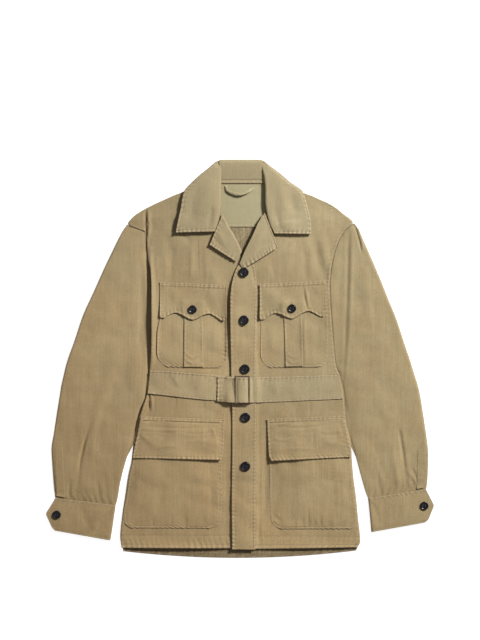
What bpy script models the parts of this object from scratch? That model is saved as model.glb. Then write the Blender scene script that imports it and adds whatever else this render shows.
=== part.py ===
"""A belted jacket with four pockets, buttoned and laid flat on its back.

X runs across the jacket, Y from hem to collar and Z up from the surface that it lies on.
The tables are in millimetres, the meshes in metres. Right and left are the wearer's.
"""

import math
from collections import namedtuple

import bmesh
import bpy
import numpy as np
from mathutils import Vector
from mathutils.bvhtree import BVHTree

# Driving sizes
MM = 0.001
CLOTH_WALL = 1.2
LINING_WALL = 1.0
FLAP_WALL = 1.6
BELT_WALL = 1.6
SEAM_GAP = 0.3
SEAM_ROLL = 5.0
COLLAR_ROLL = 8.0
ROW_STEP = 26.0
FINE_STEP = 14.0
FRONT_BUTTON = 20.0
POCKET_BUTTON = 17.5
BUTTON_SIDES = 16
BUCKLE_WALL = 2.0

# Finishes: colour, roughness, metallic
KHAKI = ("khaki_cotton", (0.42, 0.335, 0.19, 1.0), 0.9, 0.0)
KHAKI_LINING = ("khaki_lining", (0.40, 0.33, 0.2, 1.0), 0.92, 0.0)
DARK_BUTTON = ("dark_button", (0.012, 0.012, 0.017, 1.0), 0.3, 0.0)
AGED_METAL = ("aged_metal", (0.33, 0.22, 0.17, 1.0), 0.4, 1.0)

# One row a section: edge a, edge b, then the middle height at edge a, between and at edge b
Section = namedtuple("Section", "ax ay bx by za zm zb")
Fold = namedtuple("Fold", "x1 y1 x2 y2 half_width height")

BACK = (
    Section(-239, -394.4, 238, -393, 0, 0, 0),
    Section(-245, -365, 246, -372, 0, 0, 0),
    Section(-241, -322, 241, -322, 0, 0, 0),
    Section(-235, -281, 237, -281, 0, 0, 0),
    Section(-229, -240, 232, -244, 0, 0, 0),
    Section(-222, -208, 229, -208, 0, 0, 0),
    Section(-218, -175, 226, -169, 0, 0, 0),
    Section(-212, -142, 219, -142, 0, 0, 0),
    Section(-202, -105, 214, -105, 0, 0, 0),
    Section(-194, -90, 212, -90, 0, 0, 0),
    Section(-191, -83, 211, -83, 0, 0, 0),
    Section(-188, -27, 201, -27, 0, 0, 0),
    Section(-188, -19, 198, -19, 0, 0, 0),
    Section(-187.6, 28, 190, 28, 0, 0, 0),
    Section(-187.6, 79, 186, 79, 0, 0, 0),
    Section(-187.6, 137, 182, 140, 0, 0, 0),
    Section(-189.5, 182, 184, 178, 0, 0, 0),
    Section(-192.5, 223, 190, 211, 0, 0, 0),
    Section(-194.5, 262, 198, 237, 0, 0, 0),
    Section(-228.5, 277, 212, 262, 0, 0, 0),
    Section(-218, 289, 230, 279, 0, 0, 0),
    Section(-207, 298, 210, 296, 0, 0, 0),
    Section(-178, 314, 186, 314, 0, 0, 0),
    Section(-141, 331, 149, 331, 0, 0, 0),
    Section(-47, 364, 50, 364, 0, 0, 0),
)
BACK_HEM_BOW = -14.3

FRONT_RIGHT = (
    Section(-242.4, -387, 31, -388, 3.2, 4.6, 4.6),
    Section(-245.4, -365, 31, -366, 1.9, 4.8, 4.8),
    Section(-241.4, -322, 31, -322, 1.9, 4.8, 4.8),
    Section(-235.4, -281, 31, -281, 1.9, 4.8, 4.8),
    Section(-229.4, -240, 31, -240, 1.9, 4.8, 4.8),
    Section(-222.4, -208, 31, -208, 1.9, 4.8, 4.8),
    Section(-218.4, -175, 31, -175, 1.9, 4.8, 4.8),
    Section(-212.4, -142, 30, -142, 1.9, 4.8, 4.8),
    Section(-202.4, -105, 30, -105, 1.9, 4.8, 4.8),
    Section(-191.4, -76, 29, -76, 3.6, 5.2, 5.0),
    Section(-189.4, -50, 29, -50, 3.6, 5.4, 5.0),
    Section(-185.4, -23, 28, -23, 3.0, 5.4, 4.8),
    Section(-182.4, 18, 27, 18, 1.9, 5.4, 4.8),
    Section(-181.4, 79, 26, 79, 1.9, 5.4, 4.8),
    Section(-181.4, 141, 22, 141, 1.9, 5.4, 4.8),
    Section(-183.4, 182, 8, 182, 1.9, 5.4, 4.8),
    Section(-188.4, 204, 2, 204, 1.9, 5.2, 4.8),
    Section(-190.4, 233, -4, 230, 1.9, 5.0, 5.0),
    Section(-190.6, 256, -15, 254, 1.9, 4.8, 5.2),
    Section(-197, 261.4, -28, 275, 1.9, 4.8, 5.4),
    Section(-213, 267.4, -40, 297, 1.9, 4.6, 5.4),
    Section(-229.4, 276.6, -43, 312, 1.9, 4.6, 5.4),
    Section(-219, 290.4, -45, 324, 2.2, 3.6, 5.0),
    Section(-207, 299.4, -47, 337, 3.2, 3.4, 4.6),
    Section(-178, 315.4, -50, 352, 3.3, 3.3, 3.8),
    Section(-141, 332.2, -49, 368, 3.0, 3.0, 3.0),
)
FRONT_LEFT = (
    Section(240.4, -386, -16, -390, 3.2, 4.6, 6.4),
    Section(246.4, -374, -16.5, -373, 1.9, 4.8, 6.4),
    Section(241.4, -322, -17, -322, 1.9, 4.8, 6.4),
    Section(237.4, -281, -17, -281, 1.9, 4.8, 6.4),
    Section(232.4, -244, -16.5, -244, 1.9, 4.8, 6.4),
    Section(229.4, -208, -16, -208, 1.9, 4.8, 6.4),
    Section(226.4, -169, -16, -169, 1.9, 4.8, 6.4),
    Section(219.4, -142, -16, -142, 1.9, 4.8, 6.4),
    Section(215.4, -115, -16, -115, 1.9, 4.8, 6.4),
    Section(212.4, -83, -16.5, -83, 3.6, 5.2, 6.6),
    Section(209.4, -60, -17, -60, 3.6, 5.2, 6.6),
    Section(203.4, -35, -18, -35, 3.6, 5.2, 6.6),
    Section(195.4, -15, -18.5, -12, 3.2, 5.2, 6.4),
    Section(190.4, 28, -19, 28, 3.6, 5.2, 6.4),
    Section(186.4, 79, -20, 79, 3.8, 5.2, 6.4),
    Section(183.4, 120, -20, 120, 4.0, 5.2, 6.4),
    Section(182.4, 151, -18, 150, 4.0, 5.2, 6.4),
    Section(184.4, 178, -11, 178, 4.0, 5.2, 6.4),
    Section(190.4, 211, 4, 206, 4.0, 5.2, 6.2),
    Section(198.4, 237, 20, 236, 4.0, 5.0, 5.6),
    Section(212.4, 262, 34, 264, 4.0, 4.8, 5.4),
    Section(231.2, 279.4, 48, 290, 1.9, 4.6, 5.4),
    Section(211, 297.4, 52, 308, 2.2, 3.6, 5.0),
    Section(199, 307.4, 54, 323, 3.2, 3.4, 4.6),
    Section(187, 315.4, 55, 337, 3.3, 3.3, 4.0),
    Section(150, 332.4, 52, 370, 3.0, 3.0, 3.0),
)
FRONT_BAND = (
    Section(-16, -389.4, 31, -390.4, 0, 0, 0),
    Section(-17, -290, 31, -290, 0, 0, 0),
    Section(-16, -187, 31.5, -187, 0, 0, 0),
    Section(-16, -95, 32, -95, 0, 0, 0),
    Section(-18, -33, 31, -33, 0, 0, 0),
    Section(-19, 18, 31.5, 18, 0, 0, 0),
    Section(-20, 79, 33, 79, 0, 0, 0),
    Section(-20, 120, 34, 120, 0, 0, 0),
    Section(-18, 147, 34, 147, 0, 0, 0),
    Section(-14, 166, 33, 166, 0, 0, 0),
    Section(-8, 183, 30, 185, 0, 0, 0),
    Section(-4, 191, 27, 192, 0, 0, 0),
)
YOKE = (
    Section(-58, 357.5, 64, 357.5, 0, 0, 0),
    Section(-62, 312, 68, 312, 0, 0, 0),
    Section(-66, 270, 72, 270, 0, 0, 0),
)
LAPEL_RIGHT = (
    Section(-62, 233, -35.7, 297.4, 10.0, 10.5, 8.6),
    Section(-52, 226.2, -23, 272, 10.0, 10.5, 8.0),
    Section(-41, 219, -11, 252, 9.5, 10.5, 7.8),
    Section(-21, 206.5, -1, 232, 9.0, 10.0, 7.8),
    Section(-8, 198, 4, 219.5, 8.6, 9.0, 7.8),
)
LAPEL_LEFT = (
    Section(78, 228, 50.4, 298.8, 10.0, 10.5, 8.4),
    Section(66, 220.3, 38, 280, 10.0, 11.0, 8.4),
    Section(53, 212, 25, 251, 10.2, 11.2, 8.6),
    Section(29, 197, 10, 221, 10.4, 11.2, 9.0),
    Section(6, 183, -1, 195, 10.2, 10.6, 9.6),
)
COLLAR_RIGHT = (
    Section(-50, 403.4, -41.6, 406.6, 3.6, 4.6, 5.0),
    Section(-62, 392.8, -37, 387, 3.0, 9.0, 4.6),
    Section(-83, 375.8, -35, 371, 3.0, 11.0, 4.2),
    Section(-99, 360.6, -35, 346, 3.2, 12.0, 4.2),
    Section(-115, 341, -36, 319, 5.2, 12.0, 4.4),
    Section(-122, 305, -38, 300, 9.0, 11.5, 6.4),
    Section(-129, 272, -45, 278, 9.5, 11.0, 9.4),
    Section(-131, 258, -52, 260, 9.5, 10.5, 9.8),
)
COLLAR_LEFT = (
    Section(50, 404.4, 42.6, 407.6, 3.6, 4.6, 5.0),
    Section(62, 394.6, 44, 387, 3.0, 9.0, 4.6),
    Section(83, 378.6, 45, 371, 3.0, 12.0, 4.2),
    Section(103, 361.4, 45, 346, 3.2, 13.0, 4.2),
    Section(129, 341, 46, 325, 5.2, 13.0, 4.6),
    Section(138, 311, 52, 301, 9.0, 12.5, 7.0),
    Section(145, 280, 61, 276, 9.5, 11.5, 9.6),
    Section(146, 255, 71, 256, 9.5, 10.5, 9.8),
)
# Collar round the back neck, from the neck seam over the fold: left end, right end, length, height
COLLAR_BACK = (
    Section(-32.6, 359.0, 42.6, 359.0, 3.4, 3.4, 3.4),
    Section(-32.8, 372.0, 42.8, 372.0, 5.2, 5.2, 5.2),
    Section(-34.4, 388.0, 42.0, 388.0, 7.4, 7.4, 7.4),
    Section(-38.4, 401.0, 41.0, 401.0, 8.4, 8.4, 8.4),
    Section(-39.4, 405.8, 40.6, 405.8, 7.2, 7.2, 7.2),
    Section(-39.6, 407.4, 40.4, 407.4, 4.4, 4.4, 4.4),
    Section(-39.4, 405.4, 40.4, 405.4, 1.8, 1.8, 1.8),
    Section(-39.0, 400.0, 40.0, 400.0, 0.7, 0.7, 0.7),
    Section(-38.0, 367.0, 41.0, 367.0, 0.6, 0.6, 0.6),
)
# Line of the hanger loop inside the back neck: X, Y, rise over the yoke
HANGER_LINE = (
    (-28, 355, 0), (-25, 346, 0.6), (-14, 340, 1.4), (0, 337, 1.8), (14, 341, 1.4), (26, 350, 0),
)
HANGER_WIDTH = 5.0

CHEST_POCKET_RIGHT = (
    Section(-168, 150, -27, 146, 0, 0, 0),
    Section(-169, 80, -27, 80, 0, 0, 0),
    Section(-170, 14, -27, 12, 0, 0, 0),
    Section(-168, 2, -28, 0, 0, 0, 0),
    Section(-163, -6, -31, -9, 0, 0, 0),
    Section(-156, -12, -37, -15, 0, 0, 0),
    Section(-147, -17, -46, -19, 0, 0, 0),
)
CHEST_POCKET_LEFT = (
    Section(43, 149, 178, 154, 0, 0, 0),
    Section(43, 80, 179, 80, 0, 0, 0),
    Section(42, 10, 180, 12, 0, 0, 0),
    Section(44, -1, 179, 0, 0, 0, 0),
    Section(48, -8, 176, -8, 0, 0, 0),
    Section(54, -14, 170, -13, 0, 0, 0),
    Section(63, -18, 161, -17, 0, 0, 0),
)
CHEST_PLEAT_RIGHT = (Section(-114, 112, -77, 112, 0, 0, 0), Section(-115, -16.4, -75, -17, 0, 0, 0))
CHEST_PLEAT_LEFT = (Section(89, 112, 126, 112, 0, 0, 0), Section(93, -16, 129, -15.4, 0, 0, 0))
# Ends of each chest flap's top edge, and the scalloped lower edge: share of the width, depth
CHEST_FLAP_RIGHT = ((-164, 157), (-28, 151))
CHEST_FLAP_LEFT = ((40, 153), (175, 160))
SCALLOP = (
    (0.0, 70), (0.025, 73.5), (0.06, 73.5), (0.14, 66.5), (0.235, 61.5), (0.32, 64.5), (0.42, 71.5),
    (0.495, 74.5), (0.57, 70.5), (0.66, 63.5), (0.74, 60.5), (0.83, 65.5), (0.92, 73), (0.96, 74), (1.0, 69),
)
HIP_POCKET_RIGHT = (
    Section(-204, -128, -37, -132, 0, 0, 0),
    Section(-219, -208, -37, -208, 0, 0, 0),
    Section(-226, -240, -37, -240, 0, 0, 0),
    Section(-232, -281, -37, -281, 0, 0, 0),
    Section(-238, -318, -38, -320, 0, 0, 0),
    Section(-237, -332, -42, -335, 0, 0, 0),
    Section(-232, -341, -50, -343, 0, 0, 0),
    Section(-222, -346, -62, -347, 0, 0, 0),
)
HIP_POCKET_LEFT = (
    Section(60, -132, 212, -127, 0, 0, 0),
    Section(60, -208, 225, -208, 0, 0, 0),
    Section(60.5, -240, 228, -240, 0, 0, 0),
    Section(61, -281, 233, -281, 0, 0, 0),
    Section(62, -320, 237, -318, 0, 0, 0),
    Section(66, -336, 237, -334, 0, 0, 0),
    Section(74, -344, 234, -343, 0, 0, 0),
    Section(86, -348, 226, -348, 0, 0, 0),
)
HIP_FLAP_RIGHT = (
    Section(-203, -118, -32, -124, 0, 0, 0),
    Section(-212, -162, -33, -165, 0, 0, 0),
    Section(-219, -196, -35, -198, 0, 0, 0),
    Section(-220, -203, -39, -207, 0, 0, 0),
)
HIP_FLAP_LEFT = (
    Section(55, -123, 213, -117, 0, 0, 0),
    Section(57, -165, 220, -160, 0, 0, 0),
    Section(59, -198, 227, -194, 0, 0, 0),
    Section(64, -209, 227, -201, 0, 0, 0),
)
# Belt sections: top edge, lower edge. The last column of the left part is its weave at the buckle
BELT_RIGHT = (
    Section(-184.4, -24, -189, -71, 0, 0, 0),
    Section(-172, -24.6, -174, -72.6, 0, 0, 0),
    Section(-144, -26, -144, -76, 0, 0, 0),
    Section(-82, -31, -82, -83, 0, 0, 0),
    Section(-40, -34, -40, -86, 0, 0, 0),
    Section(-9, -37.6, -9, -88.4, 0, 0, 0),
)
BELT_LEFT = (
    (-46, -35.4, -47, -87, 0),
    (-30, -37, -30, -88.6, 0),
    (-20, -38, -20, -89.2, 0),
    (-13, -38.2, -13, -89.4, 0),
    (-8, -38.2, -8, -89.4, 0),
    (-2.5, -38.2, -2.5, -89.4, 1),
    (4.5, -38.2, 4.5, -89.4, 1.25),
    (11.5, -38.2, 11.5, -89.4, 1),
    (17, -38.2, 17, -89.4, 0),
    (22, -38.2, 22, -89.4, 0),
    (30, -38, 30, -89.6, 0),
    (56, -37.4, 56, -89, 0),
    (82, -37, 82, -88, 0),
    (113, -36, 113, -86.6, 0),
    (144, -35, 144, -85, 0),
    (175, -34, 180, -83.6, 0),
    (202, -33, 211.4, -82, 0),
)
BELT_BACK = (Section(-186, -30, -190, -80, 0, 0, 0), Section(200, -30, 210, -80, 0, 0, 0))
# Buckle: lines of the side, centre and end bars
BUCKLE_X = (-12.4, -9.4, 3.0, 6.0, 18.4, 21.4)
BUCKLE_Y = (-93.4, -90.6, -37.0, -34.2)

SLEEVE_RIGHT = (
    Section(-231.4, 274.6, -226.6, 273.4, 2.2, 2.4, 2.4),
    Section(-239.6, 263, -198, 258.4, 1.9, 3.8, 3.4),
    Section(-254.6, 234, -194, 223, 1.9, 5.4, 2.2),
    Section(-277.6, 186, -191, 182, 1.9, 5.6, 2.2),
    Section(-299.6, 137, -189, 137, 1.9, 5.6, 2.2),
    Section(-322.6, 86, -189, 79, 1.9, 5.6, 2.2),
    Section(-338.6, 38, -189, 28, 1.9, 5.6, 2.2),
    Section(-355.6, -11, -190, -23, 1.9, 5.6, 2.2),
    Section(-361.2, -34, -191.8, -50, 1.9, 5.6, 2.0),
    Section(-366.6, -58, -194, -78, 1.9, 5.6, 1.9),
    Section(-370.6, -84, -205, -105, 1.9, 5.6, 1.9),
    Section(-376.2, -118, -215, -142, 1.9, 5.6, 1.9),
    Section(-381.2, -152, -222.2, -173, 1.9, 5.4, 1.9),
    Section(-386.2, -186, -234, -209, 1.9, 5.2, 1.9),
    Section(-383.2, -238, -245, -251, 1.9, 5.0, 1.9),
    Section(-378.6, -284, -254.4, -298, 1.9, 4.8, 1.9),
)
SLEEVE_LEFT = (
    Section(234.8, 277.4, 232.6, 277.0, 1.9, 2.4, 2.2),
    Section(243.6, 264, 215.2, 261.4, 1.9, 4.4, 4.2),
    Section(249.8, 249, 201.2, 237, 1.9, 5.0, 4.2),
    Section(256.6, 234, 193, 211, 1.9, 5.2, 4.0),
    Section(277.6, 186, 187, 178, 1.9, 5.6, 3.8),
    Section(290.6, 155, 185, 151, 1.9, 5.6, 3.6),
    Section(303.6, 122, 186, 120, 1.9, 5.6, 3.6),
    Section(318.6, 86, 189, 79, 1.9, 5.6, 3.4),
    Section(334.6, 38, 193, 28, 1.9, 5.6, 3.2),
    Section(350.6, -10, 198.4, -15, 1.9, 5.6, 2.8),
    Section(357.6, -33, 206.4, -35, 1.9, 5.6, 2.2),
    Section(365.6, -60, 212.6, -60, 1.9, 5.6, 1.9),
    Section(370.6, -85, 215.6, -83, 1.9, 5.6, 1.9),
    Section(374.8, -112, 218.6, -115, 1.9, 5.6, 1.9),
    Section(378.8, -138, 222.6, -142, 1.9, 5.6, 1.9),
    Section(382.6, -164, 228.6, -169, 1.9, 5.4, 1.9),
    Section(385.6, -195, 239.4, -208, 1.9, 5.2, 1.9),
    Section(384.6, -238, 251, -251, 1.9, 5.0, 1.9),
    Section(381.6, -266, 262, -284.4, 1.9, 4.8, 1.9),
)
CUFF_RIGHT = (
    Section(-378.4, -285.4, -254.8, -299.4, 3.0, 5.0, 1.9),
    Section(-387, -300, -257, -314, 3.0, 5.2, 1.9),
    Section(-396.6, -315, -259, -329, 3.0, 5.2, 1.9),
    Section(-396.8, -320, -260, -336, 3.0, 5.2, 1.9),
    Section(-385, -346, -264, -362, 3.0, 5.2, 1.9),
    Section(-379, -352, -266, -372, 3.0, 4.8, 1.9),
)
CUFF_LEFT = (
    Section(381, -267.4, 262.4, -285.8, 3.0, 5.0, 1.9),
    Section(389, -283, 264.4, -303, 3.0, 5.2, 1.9),
    Section(396.6, -298, 266, -320, 3.0, 5.2, 1.9),
    Section(396.8, -303, 266.6, -326, 3.0, 5.2, 1.9),
    Section(386, -329, 268.4, -347, 3.0, 5.2, 1.9),
    Section(380, -335, 269.4, -355, 3.0, 4.8, 1.9),
)
CUFF_UNDER_EDGE = 372.0
PLACKET_RIGHT = (Section(-379, -170, -364, -169, 0, 0, 0), Section(-376, -281, -358, -284, 0, 0, 0))
PLACKET_LEFT = (Section(379.4, -187, 364, -186, 0, 0, 0), Section(377, -264, 362, -267, 0, 0, 0))

# Largest folds of each panel
FOLDS = {
    "front_right": (Fold(-168, -5, -172, 245, 15, 2.6), Fold(-120, 182, -60, 170, 22, 1.0)),
    "front_left": (Fold(148, 243, 176, 152, 10, -1.4), Fold(162, 254, 184, 171, 7, 1.8)),
    "sleeve_right_top": (
        Fold(-205, 215, -203, -30, 9, -2.0),
        Fold(-302, -128, -331, -280, 9, 2.6),
        Fold(-318, -140, -345, -250, 8, -1.6),
    ),
    "sleeve_left_top": (
        Fold(221, 262, 213, -40, 8, -2.4),
        Fold(233, 276, 250, 200, 7, -1.6),
        Fold(330, -150, 346, -270, 9, 2.4),
        Fold(318, -150, 330, -262, 8, -1.4),
    ),
    "collar_right": (Fold(-55, 396, -40, 300, 10, 3.6),),
    "collar_left": (Fold(50, 396, 56, 296, 10, 3.8),),
}

# Button centres, and the pieces that each row of buttons is sewn through
FRONT_BUTTONS = ((8, 177), (8, 79), (10, -21), (11, -120), (11, -220))
FLAP_BUTTONS = (("right", -97, 101), ("left", 106, 103))
CUFF_BUTTONS = (("right", -375, -319), ("left", 377, -301))
# Turned button profile: share of the radius, height
BUTTON_PROFILE = (
    (0.0, 0.0), (0.9, 0.0), (1.0, 0.7), (1.0, 1.9), (0.9, 2.7), (0.74, 2.6), (0.62, 1.9), (0.0, 1.8),
)

SURFACES = {}


def clear_scene():
    for obj in list(bpy.data.objects):
        bpy.data.objects.remove(obj, do_unlink=True)


def finish_material(finish):
    name, colour, roughness, metallic = finish
    material = bpy.data.materials.get(name) or bpy.data.materials.new(name)
    material.use_nodes = True
    shader = material.node_tree.nodes["Principled BSDF"]
    shader.inputs["Base Color"].default_value = colour
    shader.inputs["Roughness"].default_value = roughness
    shader.inputs["Metallic"].default_value = metallic
    material.diffuse_color = colour
    return material


def smooth_rows(rows, step):
    """Rows through the table, none further apart than about step, with every table row kept."""
    table = np.array(rows, dtype=float)
    reach_a = np.hypot(np.diff(table[:, 0]), np.diff(table[:, 1]))
    reach_b = np.hypot(np.diff(table[:, 2]), np.diff(table[:, 3]))
    gaps = np.maximum((reach_a + reach_b) / 2, 0.5)
    place = np.concatenate([[0.0], np.cumsum(gaps)])
    wanted = []
    for index, reach in enumerate(np.maximum(reach_a, reach_b)):
        parts = max(1, round(reach / step))
        wanted.extend(place[index] + gaps[index] * np.arange(parts) / parts)
    wanted.append(place[-1])
    return monotone_curve(place, table, np.array(wanted))


def monotone_curve(place, table, wanted):
    """Smooth values between the table's rows that never overshoot a row."""
    span = np.diff(place)[:, None]
    slope = np.diff(table, axis=0) / span
    tangent = np.zeros_like(table)
    tangent[0] = slope[0]
    tangent[-1] = slope[-1]
    before = slope[:-1]
    after = slope[1:]
    same_way = before * after > 0
    weight_a = 2 * span[1:] + span[:-1]
    weight_b = span[1:] + 2 * span[:-1]
    safe_before = np.where(same_way, before, 1.0)
    safe_after = np.where(same_way, after, 1.0)
    mean = (weight_a + weight_b) / (weight_a / safe_before + weight_b / safe_after)
    tangent[1:-1] = np.where(same_way, mean, 0.0)
    index = np.clip(np.searchsorted(place, wanted, side="right") - 1, 0, len(place) - 2)
    share = ((wanted - place[index]) / np.diff(place)[index])[:, None]
    square = share * share
    cube = square * share
    start = table[index] * (2 * cube - 3 * square + 1) + table[index + 1] * (3 * square - 2 * cube)
    turn = tangent[index] * (cube - 2 * square + share) + tangent[index + 1] * (cube - square)
    return start + span[index] * turn


def quarter_round(distance, radius):
    if radius <= 0:
        return np.ones_like(distance)
    return np.sqrt(np.maximum(0.0, 1 - (1 - np.clip(distance / radius, 0, 1)) ** 2))


def section_grid(rows, step, cells, roll_a=0.0, roll_b=0.0, bow=0.0):
    """Points of a panel: rows along it, columns across it, with edges that roll down."""
    lines = []
    sections = smooth_rows(rows, step)
    for number, (ax, ay, bx, by, za, zm, zb) in enumerate(sections):
        width = math.hypot(bx - ax, by - ay)
        edge_a = min(roll_a, 0.3 * width)
        edge_b = min(roll_b, 0.3 * width)
        inside = np.linspace(edge_a, width - edge_b, cells + 1)
        start = edge_a * np.array([0.0, 0.13, 0.5]) if roll_a else np.empty(0)
        end = width - edge_b * np.array([0.5, 0.13, 0.0]) if roll_b else np.empty(0)
        across = np.concatenate([start, inside, end])
        share = across / width
        low_a = (zm - za) * (1 - quarter_round(across, edge_a))
        low_b = (zm - zb) * (1 - quarter_round(width - across, edge_b))
        bend = bow * 4 * share * (1 - share) if number == 0 else 0.0
        line = np.stack([ax + (bx - ax) * share, ay + (by - ay) * share + bend, zm - low_a - low_b], axis=1)
        lines.append(line)
    return np.array(lines)


def add_folds(points, folds):
    for one in folds:
        along = np.array([one.x2 - one.x1, one.y2 - one.y1], dtype=float)
        length = np.linalg.norm(along)
        along /= length
        off = points[..., :2] - np.array([one.x1, one.y1])
        place = off @ along
        aside = off @ np.array([-along[1], along[0]])
        share = np.clip(place / length, 0, 1)
        points[..., 2] += one.height * np.exp(-((aside / one.half_width) ** 2)) * np.sin(math.pi * share)


def top_height(x, y, names):
    """The highest surface of the named pieces at this place, or the ground."""
    best = 0.0
    for name in names:
        hit = SURFACES[name].ray_cast(Vector((x, y, 300.0)), Vector((0.0, 0.0, -1.0)))
        if hit[0] is not None:
            best = max(best, hit[0].z)
    return best


def settle(points, wall, names, reach, passes=0):
    """Lay the points on the named pieces, the seam gap clear of them, bridging their steps softly."""
    ring = [(0.0, 0.0)]
    for share in (0.5, 1.0):
        far = share * reach
        ring.extend((far * math.cos(a), far * math.sin(a)) for a in np.arange(8) * math.pi / 4)
    low = np.empty(points.shape[:2])
    for index in np.ndindex(low.shape):
        x, y = points[index][:2]
        low[index] = max(top_height(x + dx, y + dy, names) for dx, dy in ring)
    low += SEAM_GAP + wall / 2
    high = low.copy()
    for _ in range(passes):
        wide = np.pad(high, 1, mode="edge")
        mean = (wide[:-2, 1:-1] + wide[2:, 1:-1] + wide[1:-1, :-2] + wide[1:-1, 2:]) / 4
        high = np.maximum(low, mean)
    points[..., 2] = np.maximum(points[..., 2], high)


def cloth(name, points, wall, finish=KHAKI):
    """A closed wall of even thickness round a grid of points."""
    rows, columns = points.shape[:2]
    along = np.gradient(points, axis=0)
    across = np.gradient(points, axis=1)
    normal = np.cross(across, along)
    normal /= np.linalg.norm(normal, axis=2, keepdims=True)
    corners = np.concatenate([points + normal * wall / 2, points - normal * wall / 2]).reshape(-1, 3)
    under = rows * columns

    def at(row, column):
        return row * columns + column

    faces = []
    for row in range(rows - 1):
        for column in range(columns - 1):
            quad = (at(row, column), at(row, column + 1), at(row + 1, column + 1), at(row + 1, column))
            faces.append(quad)
            faces.append(tuple(under + corner for corner in reversed(quad)))
    rim = [at(0, column) for column in range(columns)]
    rim += [at(row, columns - 1) for row in range(1, rows)]
    rim += [at(rows - 1, column) for column in range(columns - 2, -1, -1)]
    rim += [at(row, 0) for row in range(rows - 2, 0, -1)]
    for one, other in zip(rim, rim[1:] + rim[:1]):
        faces.append((other, one, one + under, other + under))
    return add_solid(name, corners, faces, finish)


def add_solid(name, corners, faces, finish):
    mesh = bpy.data.meshes.new(name)
    mesh.from_pydata([tuple(corner * MM) for corner in corners], [], faces)
    shape = bmesh.new()
    shape.from_mesh(mesh)
    if shape.calc_volume(signed=True) < 0:
        bmesh.ops.reverse_faces(shape, faces=shape.faces)
    for face in shape.faces:
        face.smooth = True
    shape.to_mesh(mesh)
    shape.free()
    mesh.materials.append(finish_material(finish))
    obj = bpy.data.objects.new(name, mesh)
    bpy.context.scene.collection.objects.link(obj)
    SURFACES[name] = BVHTree.FromPolygons([tuple(corner) for corner in corners], faces)
    return obj


def panel(
    name, rows, cells, wall=CLOTH_WALL, on=(), step=ROW_STEP, reach=5.0, passes=0, finish=KHAKI, **rolls
):
    points = section_grid(rows, step, cells, **rolls)
    settle(points, wall, on, reach, passes)
    add_folds(points, FOLDS.get(name, ()))
    return cloth(name, points, wall, finish)


def flat_panel(name, rows, cells, wall=CLOTH_WALL, step=ROW_STEP, bow=0.0, on=(), reach=0.0):
    """A panel that lies on the ground, or on what is under it."""
    points = section_grid(rows, step, cells, bow=bow)
    points[..., 2] = 0.0
    settle(points, wall, on, reach)
    points[..., 2] = np.where(points[..., 2] < wall, wall / 2, points[..., 2])
    return cloth(name, points, wall)


def chest_flap(name, ends, on):
    (x1, y1), (x2, y2) = ends
    rows = []
    for share, depth in SCALLOP:
        x = x1 + (x2 - x1) * share
        y = y1 + (y2 - y1) * share
        rows.append(Section(x, y, x, y - depth, 0, 0, 0))
    panel(name, rows, 5, wall=FLAP_WALL, on=on, step=FINE_STEP, reach=11.0)


def hanger_loop():
    line = np.array(HANGER_LINE, dtype=float)
    heading = np.gradient(line[:, :2], axis=0)
    heading /= np.linalg.norm(heading, axis=1, keepdims=True)
    side = np.stack([-heading[:, 1], heading[:, 0]], axis=1) * HANGER_WIDTH / 2
    rows = [
        Section(x - sx, y - sy, x + sx, y + sy, 0, 3.7 + rise, 0)
        for (x, y, rise), (sx, sy) in zip(line, side)
    ]
    below = ("back_yoke",)
    panel("hanger_loop", rows, 2, wall=LINING_WALL, on=below, step=9.0, reach=3.0, finish=KHAKI_LINING)


def belt_and_buckle():
    fronts = ("front_right", "front_left", "front_band")
    panel("belt_right", BELT_RIGHT, 4, wall=BELT_WALL, on=fronts, step=16.0, reach=9.0, passes=3)
    below = fronts + ("belt_right",)
    level = max(
        top_height(x, y, below)
        for x in np.linspace(BUCKLE_X[0], BUCKLE_X[-1], 12)
        for y in np.linspace(BUCKLE_Y[0], BUCKLE_Y[-1], 8)
    )
    strap = level + SEAM_GAP + BELT_WALL / 2
    base = strap + BELT_WALL / 2 + SEAM_GAP
    buckle(base)
    over = base + BUCKLE_WALL + SEAM_GAP + BELT_WALL / 2
    rows = [
        Section(ax, ay, bx, by, 0, strap + (over - strap) * weave if -15 < ax < 24 else 0, 0)
        for ax, ay, bx, by, weave in BELT_LEFT
    ]
    panel("belt_left", rows, 4, wall=BELT_WALL, on=below, step=18.0, reach=9.0)


def buckle(base):
    """A flat frame with a centre bar, cut as a grid of cells with two windows."""
    windows = ((1, 1), (3, 1))
    shape = bmesh.new()
    corners = {}
    for column, x in enumerate(BUCKLE_X):
        for row, y in enumerate(BUCKLE_Y):
            corners[column, row] = shape.verts.new((x * MM, y * MM, base * MM))
    for column in range(len(BUCKLE_X) - 1):
        for row in range(len(BUCKLE_Y) - 1):
            if (column, row) not in windows:
                around = ((column, row), (column, row + 1), (column + 1, row + 1), (column + 1, row))
                shape.faces.new([corners[corner] for corner in around])
    raised = bmesh.ops.extrude_face_region(shape, geom=list(shape.faces))
    lifted = [item for item in raised["geom"] if isinstance(item, bmesh.types.BMVert)]
    bmesh.ops.translate(shape, vec=(0, 0, BUCKLE_WALL * MM), verts=lifted)
    bmesh.ops.recalc_face_normals(shape, faces=shape.faces)
    mesh = bpy.data.meshes.new("buckle")
    shape.to_mesh(mesh)
    shape.free()
    mesh.materials.append(finish_material(AGED_METAL))
    obj = bpy.data.objects.new("buckle", mesh)
    bpy.context.scene.collection.objects.link(obj)


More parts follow.
